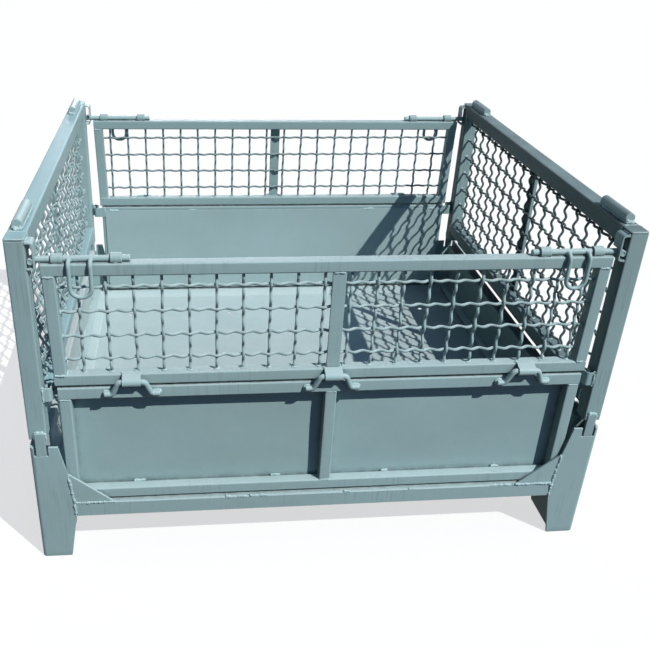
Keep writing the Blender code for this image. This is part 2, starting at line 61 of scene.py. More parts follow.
STRAP_W, STRAP_T, STRAP_TOP, STRAP_FLAT = 0.035, 0.003, 0.4484, (0.4805, 0.4845, 0.4885)
BOLT_R, BOLT_Z, BOLT_TIP, BOLT_L = 0.006, 0.6827, 0.545, 0.175
BOLT_PLAY, HINGE_PLAY, CATCH_PLAY = 0.0006, 0.0005, 0.0015
HINGE_BEND, HANDLE_BEND, HANDLE_TURN, HOOK_BEND, CATCH_BEND = 0.008, 0.018, 0.01, 0.006, 0.005
SLEEVE_R, SLEEVE_L, SLEEVES = 0.0105, 0.021, (0.4975, 0.3945)
HANDLE_R, HANDLE_X, HANDLE_W, HANDLE_Y, HANDLE_DROP = 0.004, 0.458, 0.038, 0.493, 0.068
POST, POST_IN, POST_FACE, POST_BACK, POST_Z, POST_R = 0.036, 0.548, 0.4885, 0.4525, 0.301, 0.004
TONGUE_X, TONGUE_Y, TONGUE_W, TONGUE_T = 0.562, POST_FACE + 0.00265, 0.019, 0.0069
TONGUE_LOW, TONGUE_TOP = 0.2644, 0.318
WALL_X, WALL_RAIL_Z, WALL_RAIL_H = 0.566, 0.328, 0.03
LIP_X, LIP_Z, LIP_T, LIP_H = 0.5805, 0.310, 0.003, 0.040
STACK_R, STACK_Y = 0.01, (0.3435, 0.4445)
CATCH_WEB, CATCH_TOP, CATCH_LOW, CATCH_W, STRIP_T = 0.5355, 0.718, 0.6682, 0.028, 0.003
SLOT_Y, SLOT_W, SLOT_H, CUT = 0.4665, 0.017, 0.0145, 0.004
POST_HOOK_Z, POST_HOOK_H, POST_HOOK_L = 0.403, 0.03, 0.0165
STIFFENER_X, STIFFENER_W, STIFFENER_T = 0.575, 0.025, 0.008
UPRIGHT_BACK, UPRIGHT_FACE = 0.48, 0.485
CAP, NECK, POST_WALL, POST_HOLLOW = 0.0036, POST - 0.003, 0.0026, 0.12
GUSSET_FOOT, GUSSET_TOP = (0.507, RAIL_TOP), (0.515, 0.217)
GUSSET_BEAD, GUSSET_BACK_BEAD = 0.082, 0.06
DRAINS, DRAIN_R, DRAIN_STEP, DRAIN_Y = 4, 0.006, 0.295, 0.33
TIP_BACK, TIP_W, TIP_H, TIP_FACE, TIP_DISH = 0.0028, 0.0102, 0.0126, 0.0135, 0.0012

# How far a tube runs into the next one, a wire or a wall's rail into the frame, and a bead into a face
TUBE_SINK, WIRE_SINK, BEAD_SINK = 0.0006, 0.0008, 0.0004
SPOT_R, THIN_BEAD, BEAD, FULL_BEAD, THICK_BEAD = 0.0042, 0.0018, 0.002, 0.0025, 0.0036
GATE_WIRES, WALL_WIRES = (20, 4), (17, 7)
FOOT_EDGE, PLATE_EDGE, RAIL_EDGE = 0.0009, 0.0007, 0.0012

X, Y, Z = Vector((1, 0, 0)), Vector((0, 1, 0)), Vector((0, 0, 1))
SIDES = {"left": -1, "right": 1}
ENDS = {"front": -1, "back": 1}
DRAW = random.Random(11)


# Materials

class Nodes:
    """A short way to add and link shader nodes."""

    def __init__(self, tree):
        self.tree = tree

    def add(self, kind, inputs=None, **settings):
        node = self.tree.nodes.new(kind)
        for key, value in settings.items():
            setattr(node, key, value)
        for key, value in (inputs or {}).items():
            if isinstance(value, bpy.types.NodeSocket):
                self.tree.links.new(value, node.inputs[key])
            else:
                node.inputs[key].default_value = value
        return node

    def noise(self, vector, scale, detail=3.0, rough=0.55):
        made = self.add("ShaderNodeTexNoise", {"Vector": vector, "Scale": scale, "Detail": detail,
                                               "Roughness": rough})
        return made.outputs["Fac"]

    def ramp(self, value, stops):
        made = self.add("ShaderNodeValToRGB", {"Fac": value})
        ramp = made.color_ramp
        while len(ramp.elements) < len(stops):
            ramp.elements.new(0.5)
        for element, (place, shade) in zip(ramp.elements, stops):
            element.position = place
            element.color = shade if isinstance(shade, tuple) else (shade, shade, shade, 1)
        return made.outputs["Color"]

    def mix(self, factor, first, second):
        made = self.add("ShaderNodeMix", {0: factor, 6: first, 7: second}, data_type="RGBA")
        return made.outputs[2]

    def math(self, operation, first, second=0.0, clamp=False):
        made = self.add("ShaderNodeMath", {0: first, 1: second}, operation=operation, use_clamp=clamp)
        return made.outputs[0]


def shade(colour, factor):
    """The colour, lighter or darker, with its alpha."""
    return tuple(min(1.0, part * factor) for part in colour) + (1.0,)


PAINT = (0.308, 0.453, 0.468)
FADED = (0.386, 0.450, 0.456)
CHALK = (0.55, 0.66, 0.66)
# DUST_AND_SHEEN is pale dust with painted sheen for the tops. LEFT_TOP_TINT is a bluer tint for the left
# wall's tops
DUST_AND_SHEEN = (0.67, 0.70, 0.71)
# GRIME_AND_SHADE is the colour of real grime and of painted shade
GRIME_AND_SHADE = (0.085, 0.105, 0.105)
STEEL = (0.10, 0.085, 0.075)
LEFT_TOP_TINT = (0.30, 0.50, 0.56)
# RIGHT_WALL_SHADE is painted shade for the right wall's tops
RIGHT_WALL_SHADE = (0.075, 0.105, 0.12)
SHEEN = 0.07
CREVICE, EDGE_R = 0.022, 0.0022

# Scales of the noise in the paint. RUN_STRETCH draws the runs out along Z
DRIFT, MOTTLE, DUST_SPOTS, SOIL_SPOTS = 2.6, 38.0, 12.0, 55.0
RUNS, RUN_PLACES, RUN_STRETCH = 190.0, 11.0, (1.0, 1.0, 0.05)
RUB_SPOTS, CHIPS, CHIP_PLACES = 90.0, 210.0, 9.0
PEEL, WAVE = 420.0, 34.0


def paint(name, tone=1.0, rough=0.42, wear=0.5, grime_and_shade=0.35, peel=1.0, top_dust_and_shading=0.2, sheen=SHEEN, fade=0.0,
          top_dust_and_shading_colour=DUST_AND_SHEEN, underside_shade=0.0, right_end_shade=0.0, streak=0.0, left_face_shade=0.0):
    """Worn satin enamel with painted shade: drifting tone, dust and painted sheen on top, grime, runs, rubbed
    edges, a few chips, orange peel.

    settle is the colour on the tops: dust with painted sheen, a bluer tint on the left wall, painted shade on
    the right wall.
    grime is grime and painted shade in the corners. under, right_end_shade and lee are painted shade on
    undersides, at the right end and on the faces that look left.
    """
    made = bpy.data.materials.new(name)
    made.use_nodes = True
    n = Nodes(made.node_tree)
    shader = made.node_tree.nodes["Principled BSDF"]
    coords = n.add("ShaderNodeTexCoord")
    place = coords.outputs["Object"]
    drift = n.ramp(n.noise(place, DRIFT, 4.0), [(0.3, 0.0), (0.7, 1.0)])
    mottle = n.ramp(n.noise(place, MOTTLE, 5.0, 0.65), [(0.28, 0.0), (0.72, 1.0)])
    hue = tuple(a + (b - a) * fade for a, b in zip(PAINT, FADED))
    warm = (hue[0] * 1.03, hue[1], hue[2] * 0.97)
    base = n.mix(drift, shade(warm, 0.93 * tone), shade(hue, 1.07 * tone))
    base = n.mix(n.math("MULTIPLY", mottle, 0.13), base, shade(CHALK, 0.82 * tone))

    # Dust and painted sheen on the faces that look up; with the right wall's colour it is painted shade, on
    # the left wall a bluer tint
    facing = n.add("ShaderNodeSeparateXYZ", {0: coords.outputs["Normal"]})
    upward = facing.outputs["Z"]
    top_dust_and_shading_mask = n.math("MULTIPLY", n.ramp(upward, [(0.45, 0.0), (0.9, 1.0)]),
                     n.ramp(n.noise(place, DUST_SPOTS, 5.0, 0.6), [(0.28, 0.55), (0.72, 1.0)]))
    base = n.mix(n.math("MULTIPLY", top_dust_and_shading_mask, top_dust_and_shading), base, shade(top_dust_and_shading_colour, 1.0))

    # Painted shade at the right end, on the undersides and on the faces that look left; grime and painted
    # shade in the corners
    along = n.add("ShaderNodeSeparateXYZ", {0: place}).outputs["X"]
    right_end = n.ramp(along, [(0.15, 0.0), (0.5, 1.0)])
    base = n.mix(n.math("MULTIPLY", right_end, right_end_shade), base, shade(GRIME_AND_SHADE, 1.2))
    # Painted shade on the undersides
    shaded = n.ramp(n.math("MULTIPLY", upward, -1.0), [(0.1, 0.0), (0.7, 1.0)])
    base = n.mix(n.math("MULTIPLY", shaded, underside_shade), base, shade(GRIME_AND_SHADE, tone))
    # Painted shade on the faces that look left
    left_face_shade_mask = n.ramp(n.math("MULTIPLY", facing.outputs["X"], -1.0), [(0.4, 0.0), (0.9, 1.0)])
    base = n.mix(n.math("MULTIPLY", left_face_shade_mask, left_face_shade), base, shade(GRIME_AND_SHADE, tone))
    # Grime and painted shade in the corners and crevices
    hollow = n.add("ShaderNodeAmbientOcclusion", {"Distance": CREVICE}, samples=6).outputs["AO"]
    corner = n.ramp(hollow, [(0.25, 1.0), (0.85, 0.0)])
    soil_and_shade = n.math("MULTIPLY", corner, n.ramp(n.noise(place, SOIL_SPOTS, 4.0), [(0.35, 0.25), (0.65, 1.0)]))
    base = n.mix(n.math("MULTIPLY", soil_and_shade, grime_and_shade), base, shade(GRIME_AND_SHADE, tone))

    # Streaks that run down the sides
    drawn = n.add("ShaderNodeVectorMath", {0: place, 1: RUN_STRETCH}, operation="MULTIPLY").outputs["Vector"]
    run = n.math("MULTIPLY", n.ramp(n.noise(drawn, RUNS, 3.0), [(0.52, 0.0), (0.66, 1.0)]),
                 n.ramp(n.noise(place, RUN_PLACES, 3.0), [(0.42, 0.0), (0.6, 1.0)]))
    base = n.mix(n.math("MULTIPLY", run, streak), base, shade(GRIME_AND_SHADE, 1.6 * tone))

    # Edges rubbed pale, with a few chips down to dark steel
    round_off = n.add("ShaderNodeBevel", {"Radius": EDGE_R}, samples=6).outputs["Normal"]
    flat = n.add("ShaderNodeNewGeometry").outputs["Normal"]
    turn = n.add("ShaderNodeVectorMath", {0: round_off, 1: flat}, operation="DOT_PRODUCT").outputs["Value"]
    edge = n.ramp(turn, [(0.86, 1.0), (0.985, 0.0)])
    patch = n.ramp(n.noise(place, RUB_SPOTS, 5.0, 0.7), [(0.45, 0.0), (0.62, 1.0)])
    rub = n.math("MULTIPLY", edge, n.math("MULTIPLY", n.math("ADD", patch, 0.35), wear, clamp=True))
    base = n.mix(rub, base, shade(CHALK, 1.12 * tone))
    chip = n.ramp(n.noise(place, CHIPS, 3.0, 0.6), [(0.66, 0.0), (0.69, 1.0)])
    chip = n.math("MULTIPLY", n.math("MULTIPLY", chip, edge),
                  n.ramp(n.noise(place, CHIP_PLACES), [(0.52, 0.0), (0.6, 1.0)]))
    base = n.mix(n.math("MULTIPLY", chip, 0.8), base, shade(STEEL, 1.0))
    made.node_tree.links.new(base, shader.inputs["Base Color"])

    dull = n.math("MULTIPLY_ADD", mottle, 0.14)
    dull.node.inputs[2].default_value = rough - 0.05
    dull = n.math("ADD", dull, n.math("MULTIPLY", soil_and_shade, 0.25), clamp=True)
    made.node_tree.links.new(dull, shader.inputs["Roughness"])

    skin = n.noise(place, PEEL, 2.0)
    wave = n.noise(place, WAVE, 3.0)
    bump = n.add("ShaderNodeBump", {"Strength": 0.10 * peel, "Distance": 0.0006, "Height": skin})
    bump = n.add("ShaderNodeBump", {"Strength": 0.16 * peel, "Distance": 0.0016, "Height": wave,
                                    "Normal": bump.outputs["Normal"]})
    made.node_tree.links.new(bump.outputs["Normal"], shader.inputs["Normal"])
    shader.inputs["Specular IOR Level"].default_value = sheen
    return made


SHEET = {"rough": 0.46, "wear": 0.4, "peel": 1.4}
BOARD = {"rough": 0.5, "wear": 0.4, "peel": 1.4}
WIRE = {"rough": 0.4, "wear": 0.35, "peel": 0.5}
BRIGHT = {"rough": 0.36, "wear": 0.7, "peel": 0.7}

FRAME_PAINT = paint("frame_paint", grime_and_shade=0.6, top_dust_and_shading=0.27, underside_shade=0.8, streak=0.2, left_face_shade=0.6)
LEFT_FRAME = paint("left_frame", 0.94, grime_and_shade=0.5, top_dust_and_shading=0.5, top_dust_and_shading_colour=LEFT_TOP_TINT, underside_shade=0.8, streak=0.2)
BACK_FRAME = paint("back_frame", 0.86, underside_shade=0.8)
SHEET_PAINT = paint("sheet_paint", 0.98, grime_and_shade=0.6, **SHEET)
BACK_PAINT = paint("back_paint", 1.0, grime_and_shade=0.42, fade=0.25, **SHEET)
BOARD_PAINT = paint("board_paint", 1.1, grime_and_shade=0.3, fade=0.85, **BOARD)
# The floor is darker towards its right end: painted shade
FLOOR_PAINT = paint("floor_paint", 1.0, rough=0.55, wear=0.5, grime_and_shade=0.5, peel=1.6, top_dust_and_shading=0.3, fade=0.25,
                    right_end_shade=0.28)
# shaded_back_wire is a darker copy of the wire paint: painted shade
SHADED_BACK_WIRE = paint("shaded_back_wire", 0.6, grime_and_shade=0.9, top_dust_and_shading=0.4, sheen=0.04, underside_shade=0.9, **WIRE)
WIRE_PAINT = paint("wire_paint", 0.98, grime_and_shade=0.9, top_dust_and_shading=0.3, sheen=0.05, underside_shade=0.8, **WIRE)
BRIGHT_PAINT = paint("bright_paint", 1.06, grime_and_shade=0.3, top_dust_and_shading=0.25, sheen=0.12, underside_shade=0.5, **BRIGHT)
# The dark paints are shaded copies for the right wall: darker, with painted shade on top
SHADED_BOARD = paint("shaded_board", 0.5, grime_and_shade=0.4, top_dust_and_shading=0.3, sheen=0.03, top_dust_and_shading_colour=RIGHT_WALL_SHADE, **BOARD)
LEFT_WIRE = paint("left_wire", 0.88, grime_and_shade=0.95, top_dust_and_shading=0.2, sheen=0.05, underside_shade=0.9, **WIRE)
SHADED_FRAME = paint("shaded_frame", 0.9, grime_and_shade=0.6, top_dust_and_shading=0.75, sheen=0.03, top_dust_and_shading_colour=RIGHT_WALL_SHADE, underside_shade=0.8, streak=0.5,
                   left_face_shade=0.75)
SHADED_WIRE = paint("shaded_wire", 0.36, rough=0.34, wear=0.3, grime_and_shade=0.9, peel=0.5, top_dust_and_shading=0.3, sheen=0.04,
                  top_dust_and_shading_colour=RIGHT_WALL_SHADE)
SHADED_BRIGHT = paint("shaded_bright", 0.95, grime_and_shade=0.4, top_dust_and_shading=0.6, sheen=0.06, top_dust_and_shading_colour=RIGHT_WALL_SHADE, **BRIGHT)
WELD_PAINT = paint("weld_paint", 1.16, wear=0.6, grime_and_shade=0.45, peel=2.0)


# Mesh building

WELD_STEP, WANDER_WAVES, LUMP_WAVES, NOISE_REACH = 0.0011, 130, 120, 9
SMOOTH_ANGLE, SHARP_ANGLE, FLAT_ANGLE = math.radians(38), math.radians(36), math.radians(0.6)
SAME_POINT = 0.00002
SHEET_CELLS, FLOOR_CELLS = (60, 14), (48, 40)
DENT, DENT_WAVES, DENT_STRETCH = 0.0016, 2.2, 2.4


def rounded_rect(width, depth, radius, steps=3):
    """The outline of a bar's section."""
    out = []
    for cx, cy, start in ((1, 1, 0), (-1, 1, 90), (-1, -1, 180), (1, -1, 270)):
        for i in range(steps + 1):
            turn = math.radians(start + 90 * i / steps)
            out.append((cx * (width / 2 - radius) + radius * math.cos(turn),
                        cy * (depth / 2 - radius) + radius * math.sin(turn)))
    return out


def rounded(path, radius, steps=6):
    """The path with each inner corner turned into an arc."""
    path = [Vector(p) for p in path]
    out = [path[0]]
    for before, corner, after in zip(path, path[1:], path[2:]):
        a, b = (before - corner).normalized(), (after - corner).normalized()
        half = a.angle(b) / 2
        reach = radius / math.tan(half)
        centre = corner + (a + b).normalized() * (radius / math.sin(half))
        first, last = corner + a * reach - centre, corner + b * reach - centre
        sweep = first.angle(last)
        for i in range(steps + 1):
            t = i / steps
            arm = (first * math.sin((1 - t) * sweep) + last * math.sin(t * sweep)) / math.sin(sweep)
            out.append(centre + arm)
    return out + [path[-1]]


def drawn_seed():
    """A drawn place in the noise."""
    return Vector([DRAW.uniform(-NOISE_REACH, NOISE_REACH) for _ in range(3)])


class Build:
    """Closed shells gathered in one mesh."""

    def __init__(self):
        self.bm = bmesh.new()

    def loft(self, rings):
        """A closed skin over a row of rings."""
        made = [[self.bm.verts.new(p) for p in ring] for ring in rings]
        count = len(made[0])
        for a, b in zip(made, made[1:]):
            for i in range(count):
                self.bm.faces.new((a[i], a[(i + 1) % count], b[(i + 1) % count], b[i]))
        self.bm.faces.new(made[0][::-1])
        self.bm.faces.new(made[-1])

    def tube(self, start, end, side, width, depth, radius, soft=0.0008, mouth=None):
        """A bar of rounded section. mouth = (wall, depth) leaves its start open."""
        start, end = Vector(start), Vector(end)
        along = (end - start).normalized()
        up = along.cross(side)

        def ring(at, inset):
            corner = max(radius - inset, 0.0003)
            return [start + along * at + side * s + up * u
                    for s, u in rounded_rect(width - 2 * inset, depth - 2 * inset, corner)]

        length = (end - start).length
        rings = [ring(0, soft), ring(soft, 0), ring(length - soft, 0), ring(length, soft)]
        if mouth:
            wall, deep = mouth
            rings = [ring(deep, wall), ring(0.0003, wall), ring(0, wall - 0.0003)] + rings
        self.loft(rings)

    def bar(self, path, radius, sides=12, soft=0.0, radii=None):
        """A round bar along a path, with softened ends."""
        path = [Vector(p) for p in path]
        count = len(path)
        heads = [(path[min(i + 1, count - 1)] - path[max(i - 1, 0)]).normalized() for i in range(count)]
        side = heads[0].orthogonal().normalized()
        turns = [2 * math.pi * k / sides for k in range(sides)]
        rings = []
        for i, (place, head) in enumerate(zip(path, heads)):
            side = (side - head * side.dot(head)).normalized()
            up = head.cross(side)
            size = radii[i] if radii else radius

            def ring(at, r):
                return [at + side * (r * math.cos(t)) + up * (r * math.sin(t)) for t in turns]

            if soft and i == 0:
                rings.append(ring(place, size - soft))
                rings.append(ring(place + head * soft, size))
            elif soft and i == count - 1:
                rings.append(ring(place - head * soft, size))
                rings.append(ring(place, size - soft))
            else:
                rings.append(ring(place, size))
        self.loft(rings)

    def strip(self, path, side, width, thickness, radius=0.0007):
        """A bent flat bar along a path that lies square to side."""
        path = [Vector(p) for p in path]
        section = rounded_rect(width, thickness, radius, 2)
        steps = [(b - a).normalized() for a, b in zip(path, path[1:])]
        rings = []
        for i, place in enumerate(path):
            before, after = steps[max(i - 1, 0)], steps[min(i, len(steps) - 1)]
            up = (before + after).normalized().cross(side)
            reach = 1 / max(0.6, up.dot(after.cross(side)))
            rings.append([place + side * s + up * (u * reach) for s, u in section])
        self.loft(rings)

    def turned(self, centre, axis, profile, sides=24):
        """A closed loop of (along, radius) turned about the axis."""
        side = axis.orthogonal().normalized()
        up = axis.cross(side)
        rows = []
        for k in range(sides):
            turn = 2 * math.pi * k / sides
            arm = side * math.cos(turn) + up * math.sin(turn)
            rows.append([self.bm.verts.new(Vector(centre) + axis * a + arm * r) for a, r in profile])
        count = len(profile)
        for a, b in zip(rows, rows[1:] + rows[:1]):
            for i in range(count):
                self.bm.faces.new((a[i], a[(i + 1) % count], b[(i + 1) % count], b[i]))

    def slab(self, u, v, level, thickness, view, cells, dent):
        """A thin sheet over u and v, out of flat by dent(u, v)."""
        layers = []
        for lift in (-thickness / 2, thickness / 2):
            rows = []
            for i in range(cells[0] + 1):
                a = u[0] + (u[1] - u[0]) * i / cells[0]
                rows.append([])
                for j in range(cells[1] + 1):
                    b = v[0] + (v[1] - v[0]) * j / cells[1]
                    height = level + lift + dent(i / cells[0], j / cells[1])
                    rows[-1].append(self.bm.verts.new(view(a, b, height)))
            layers.append(rows)
        low, high = layers
        for rows in layers:
            for i in range(cells[0]):
                for j in range(cells[1]):
                    self.bm.faces.new((rows[i][j], rows[i + 1][j], rows[i + 1][j + 1], rows[i][j + 1]))
        for i in range(cells[0]):
            for j in (0, cells[1]):
                self.bm.faces.new((low[i][j], low[i + 1][j], high[i + 1][j], high[i][j]))
        for j in range(cells[1]):
            for i in (0, cells[0]):
                self.bm.faces.new((low[i][j], low[i][j + 1], high[i][j + 1], high[i][j]))

    def weld(self, path, radius, ripple=0.0042, wild=1.0):
        """A lumpy bead with the ripples of a hand weld."""
        path = [Vector(p) for p in path]
        spans = [(b - a).length for a, b in zip(path, path[1:])]
        total = sum(spans)
        count = max(4, int(total / WELD_STEP))
        seed = drawn_seed()
        points, radii = [], []
        for i in range(count + 1):
            s = total * i / count
            left, at = s, path[0]
            for a, b, span in zip(path, path[1:], spans):
                if left <= span or b is path[-1]:
                    at = a + (b - a) * (left / span)
                    break
                left -= span
            way = seed + X * (s * WANDER_WAVES)
            wander = Vector([noise.noise(way + shift) for shift in (X * 0.3, Y * 4.7, Z * 8.9)])
            wander *= radius * 0.4 * wild
            lump = 0.8 + 0.3 * abs(math.sin(math.pi * s / ripple))
            lump += 0.5 * wild * noise.noise(seed + Y * (s * LUMP_WAVES))
            fade = min(1.0, 0.45 + min(s, total - s) / (1.4 * radius))
            points.append(at + wander)
            radii.append(radius * max(lump, 0.35) * fade)
        self.bar(points, radius, 8, 0.0, radii)

    def weld_x(self, x0, x1, y, z, radius, *lay):
        """A straight bead along X. lay is its ripple and wildness."""
        self.weld([(x0, y, z), (x1, y, z)], radius, *lay)

    def weld_y(self, x, y0, y1, z, radius):
        self.weld([(x, y0, z), (x, y1, z)], radius)

    def weld_z(self, x, y, z0, z1, radius, *lay):
        self.weld([(x, y, z0), (x, y, z1)], radius, *lay)

    def blob(self, centre, radius, flat):
        """A lump of weld."""
        seed = drawn_seed()
        made = bmesh.ops.create_icosphere(self.bm, subdivisions=2, radius=1.0)
        for vert in made["verts"]:
            size = radius * (1 + 0.34 * noise.noise(seed + vert.co * 1.6))
            vert.co = Vector(centre) + Vector(c * f for c, f in zip(vert.co, flat)) * size

    def mesh(self, name, side=1, end=1):
        """The shells as a mesh, mirrored in X or Y where side or end is -1."""
        made = bpy.data.meshes.new(name)
        work = self.bm.copy()
        work.transform(Matrix.Diagonal((side, end, 1, 1)))
        bmesh.ops.recalc_face_normals(work, faces=work.faces)
        work.to_mesh(made)
        work.free()
        return made


def piece(name, mesh, body, material, nodes=()):
    """A finished piece that rides on its body in the place of CAD nodes."""
    mesh.polygons.foreach_set("use_smooth", [True] * len(mesh.polygons))
    mesh.set_sharp_from_angle(angle=SMOOTH_ANGLE)
    mesh.materials.clear()
    mesh.materials.append(material)
    obj = bpy.data.objects.new(name, mesh)
    bpy.context.scene.collection.objects.link(obj)
    even = obj.modifiers.new("even", "WEIGHTED_NORMAL")
    even.keep_sharp = True
    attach(obj, body)
    if nodes:
        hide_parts(*nodes)


def refined(node, width):
    """The CAD node's shape with its edges rounded."""
    work = bmesh.new()
    work.from_mesh(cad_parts[node].data)
    bmesh.ops.remove_doubles(work, verts=work.verts, dist=SAME_POINT)
    bmesh.ops.dissolve_limit(work, angle_limit=FLAT_ANGLE, verts=work.verts, edges=work.edges)
    sharp = [e for e in work.edges if e.is_manifold and e.calc_face_angle() > SHARP_ANGLE]
    bmesh.ops.bevel(work, geom=sharp, offset=width, segments=2, profile=0.5, affect="EDGES",
                    clamp_overlap=True)
    bmesh.ops.recalc_face_normals(work, faces=work.faces)
    made = bpy.data.meshes.new(node)
    work.to_mesh(made)
    work.free()
    return made


def drilled(mesh, cutters):
    """The mesh with the cutters' shapes cut out of it."""
    obj = bpy.data.objects.new("drill", mesh)
    tool = bpy.data.objects.new("tool", cutters)
    for made in (obj, tool):
        bpy.context.scene.collection.objects.link(made)
    step = obj.modifiers.new("holes", "BOOLEAN")
    step.operation, step.solver, step.object = "DIFFERENCE", "EXACT", tool
    bpy.context.view_layer.update()
    made = bpy.data.meshes.new_from_object(obj.evaluated_get(bpy.context.evaluated_depsgraph_get()))
    for done in (obj, tool):
        bpy.data.objects.remove(done, do_unlink=True)
    return made


def soft_dent(seed, depth):
    """Shallow waves in a sheet that die away at its edges."""
    def dent(u, v):
        hold = (math.sin(math.pi * u) * math.sin(math.pi * v)) ** 0.5
        place = Vector((u * DENT_WAVES * DENT_STRETCH + seed, v * DENT_WAVES, seed * 0.7))
        return depth * hold * noise.noise(place)
    return dent


# Wire mesh

WIRE_LEAN, WIRE_DRIFT, WIRE_WAVES, STRAIGHT_END = 0.0012, 0.0009, 22, 0.012
CRIMPS, WIRE_STEPS = 3, 16


def wire_mesh(across, up, counts, place, shift=0.0, rise=0.0):
    """Round wires crimped over and under each other, with extra crimps between the crossings."""
    b = Build()
    middle = (sum(across) / 2 + shift, sum(up) / 2 + rise)
    lines = [[middle[k] + (i - (counts[k] - 1) / 2) * PITCH for i in range(counts[k])] for k in (0, 1)]
    step = PITCH / WIRE_STEPS
    for axis, run in ((0, up), (1, across)):
        origin = lines[1 - axis][0]
        for i, at in enumerate(lines[axis]):
            sign = (-1) ** i * (1 if axis == 0 else -1)
            seed = Vector((DRAW.uniform(-50, 50), DRAW.uniform(-50, 50), 0))
            lean = DRAW.uniform(-WIRE_LEAN, WIRE_LEAN)
            swell = DRAW.uniform(0.92, 1.12)
            count = int(round((run[1] - run[0]) / step))
            path = []
            for k in range(count + 1):
                s = run[0] + (run[1] - run[0]) * k / count
                t = k / count
                off = sign * CRIMP * math.cos(CRIMPS * math.pi * (s - origin) / PITCH)
                edge = min(1.0, min(s - run[0], run[1] - s) / STRAIGHT_END)
                off *= edge * (swell if 0.1 < t < 0.9 else 1.0)
                drift = at + lean * (2 * t - 1) + WIRE_DRIFT * noise.noise(seed + X * (s * WIRE_WAVES))
                path.append(place(drift, s, off) if axis == 0 else place(s, drift, off))
            b.bar(path, WIRE_R, 8)
    return b, lines


# Gates

def gate_frame(off):
    """Square tubes, a flat middle upright and the sleeves for the bolts."""
    b = Build()
    mid = TUBE / 2
    for level, half in ((GATE_Z + mid, GATE_LOW_HALF), (GATE_TOP - mid, GATE_TOP_HALF)):
        b.tube((-half, MESH_Y, level), (half, MESH_Y, level), Y, TUBE, TUBE, TUBE_R)
    y = (UPRIGHT_BACK + UPRIGHT_FACE) / 2
    b.tube((off, y, STRAP_TOP + GAP), (off, y, GATE_TOP - TUBE + GAP), X, GATE_UPRIGHT,
           UPRIGHT_FACE - UPRIGHT_BACK, 0.0009)
    inner = BOLT_R + BOLT_PLAY
    ring = [(inner, 0.0008), (inner + 0.0008, 0), (SLEEVE_R - 0.001, 0), (SLEEVE_R, 0.001)]
    half = SLEEVE_L / 2
    profile = [(cut - half, r) for r, cut in ring] + [(half - cut, r) for r, cut in reversed(ring)]
    for side in (-1, 1):
        b.tube((side * (GATE_LOW_HALF - mid), MESH_Y, GATE_Z + TUBE - TUBE_SINK),
               (side * (GATE_TOP_HALF - mid), MESH_Y, GATE_TOP - TUBE + TUBE_SINK), Y, TUBE, TUBE, TUBE_R)
        for x in SLEEVES:
            b.turned((side * x, MESH_Y, BOLT_Z), X, profile)
    return b


STRAP_BEAD_Y, UPRIGHT_BEAD_Y = 0.4808, 0.4852


def gate_welds(lines, off):
    """Beads at the corners, sleeves, straps and upright, and a spot at each wire's end."""
    b = Build()
    out, low, top = FACE - BEAD_SINK, GATE_Z + TUBE, GATE_TOP - TUBE
    for side in (-1, 1):
        for level, half in ((low, GATE_LOW_HALF), (top, GATE_TOP_HALF)):
            a, c = side * (half - TUBE + 0.002), side * (half - 0.002)
            b.weld_x(a, c, out, level, 0.0021, 0.005, 1.7)
            b.weld_x(a, c, INNER + 0.0006, level, THIN_BEAD)
            b.weld_y(a - side * 0.0024, INNER + 0.003, FACE - 0.003, level, BEAD)
        for x in SLEEVES:
            for way in (-1, 1):
                y = MESH_Y + way * 0.0066
                b.weld_x(side * x - 0.0095, side * x + 0.0095, y, GATE_TOP + 0.001, FULL_BEAD)
    for at in (-HINGE_SIDE, 0, HINGE_SIDE):
        for way in (-1, 1):
            x = off + at + way * (STRAP_W / 2 + 0.0004)
            b.weld_y(x, STRAP_BEAD_Y, FACE - 0.0015, low + 0.0006, BEAD)
    b.weld_x(off - 0.011, off + 0.011, UPRIGHT_BEAD_Y, top - 0.0005, THIN_BEAD)
    for x in lines[0]:
        b.blob((x, MESH_Y, top), SPOT_R, (1, 1, 0.7))
        b.blob((x + DRAW.uniform(-0.002, 0.001), MESH_Y, low + 0.0004), SPOT_R, (1.25, 1, 0.6))
    for z in lines[1]:
        for side in (-1, 1):
            edge = GATE_LOW_HALF + (GATE_TOP_HALF - GATE_LOW_HALF) * (z - low) / (top - low)
            b.blob((side * (edge - TUBE), MESH_Y, z), SPOT_R, (0.7, 1, 1.1))
    return b


CURL_START, CURL, CURL_STEPS = 70, 290, 24


def hinge_strap(at):
    """A flat strap over the gate's lower rail, rolled round the hinge bar."""
    b = Build()
    radius = HINGE_BAR_R + HINGE_PLAY + STRAP_T / 2
    level = STRAP_TOP - STRAP_T / 2
    path = [(at, y, level) for y in STRAP_FLAT]
    for i in range(CURL_STEPS + 1):
        turn = math.radians(CURL_START - CURL * i / CURL_STEPS)
        path.append((at, HINGE_Y + radius * math.cos(turn), HINGE_Z + radius * math.sin(turn)))
    b.strip(path, X, STRAP_W, STRAP_T)
    return b


def hinge_bar(at):
    """A round bar with both ends bent down onto the panel's rail."""
    b = Build()
    half = [(HINGE_RUN, HINGE_Y, HINGE_Z), (HINGE_FOOT, HINGE_FOOT_Y, HINGE_FOOT_Z),
            (HINGE_SPAN, HINGE_FOOT_Y, HINGE_FOOT_Z)]
    path = [(at - x, y, z) for x, y, z in reversed(half)] + [(at + x, y, z) for x, y, z in half]
    b.bar(rounded(path, HINGE_BEND), HINGE_BAR_R, 14, 0.0009)
    return b


def bolt_rod():
    """The round bolt."""
    b = Build()
    x0, x1 = BOLT_TIP - BOLT_L, BOLT_TIP
    b.bar([(x, MESH_Y, BOLT_Z) for x in (x0, x0 + 0.01, x1 - 0.01, x1)], BOLT_R, 20, 0.0012)
    return b


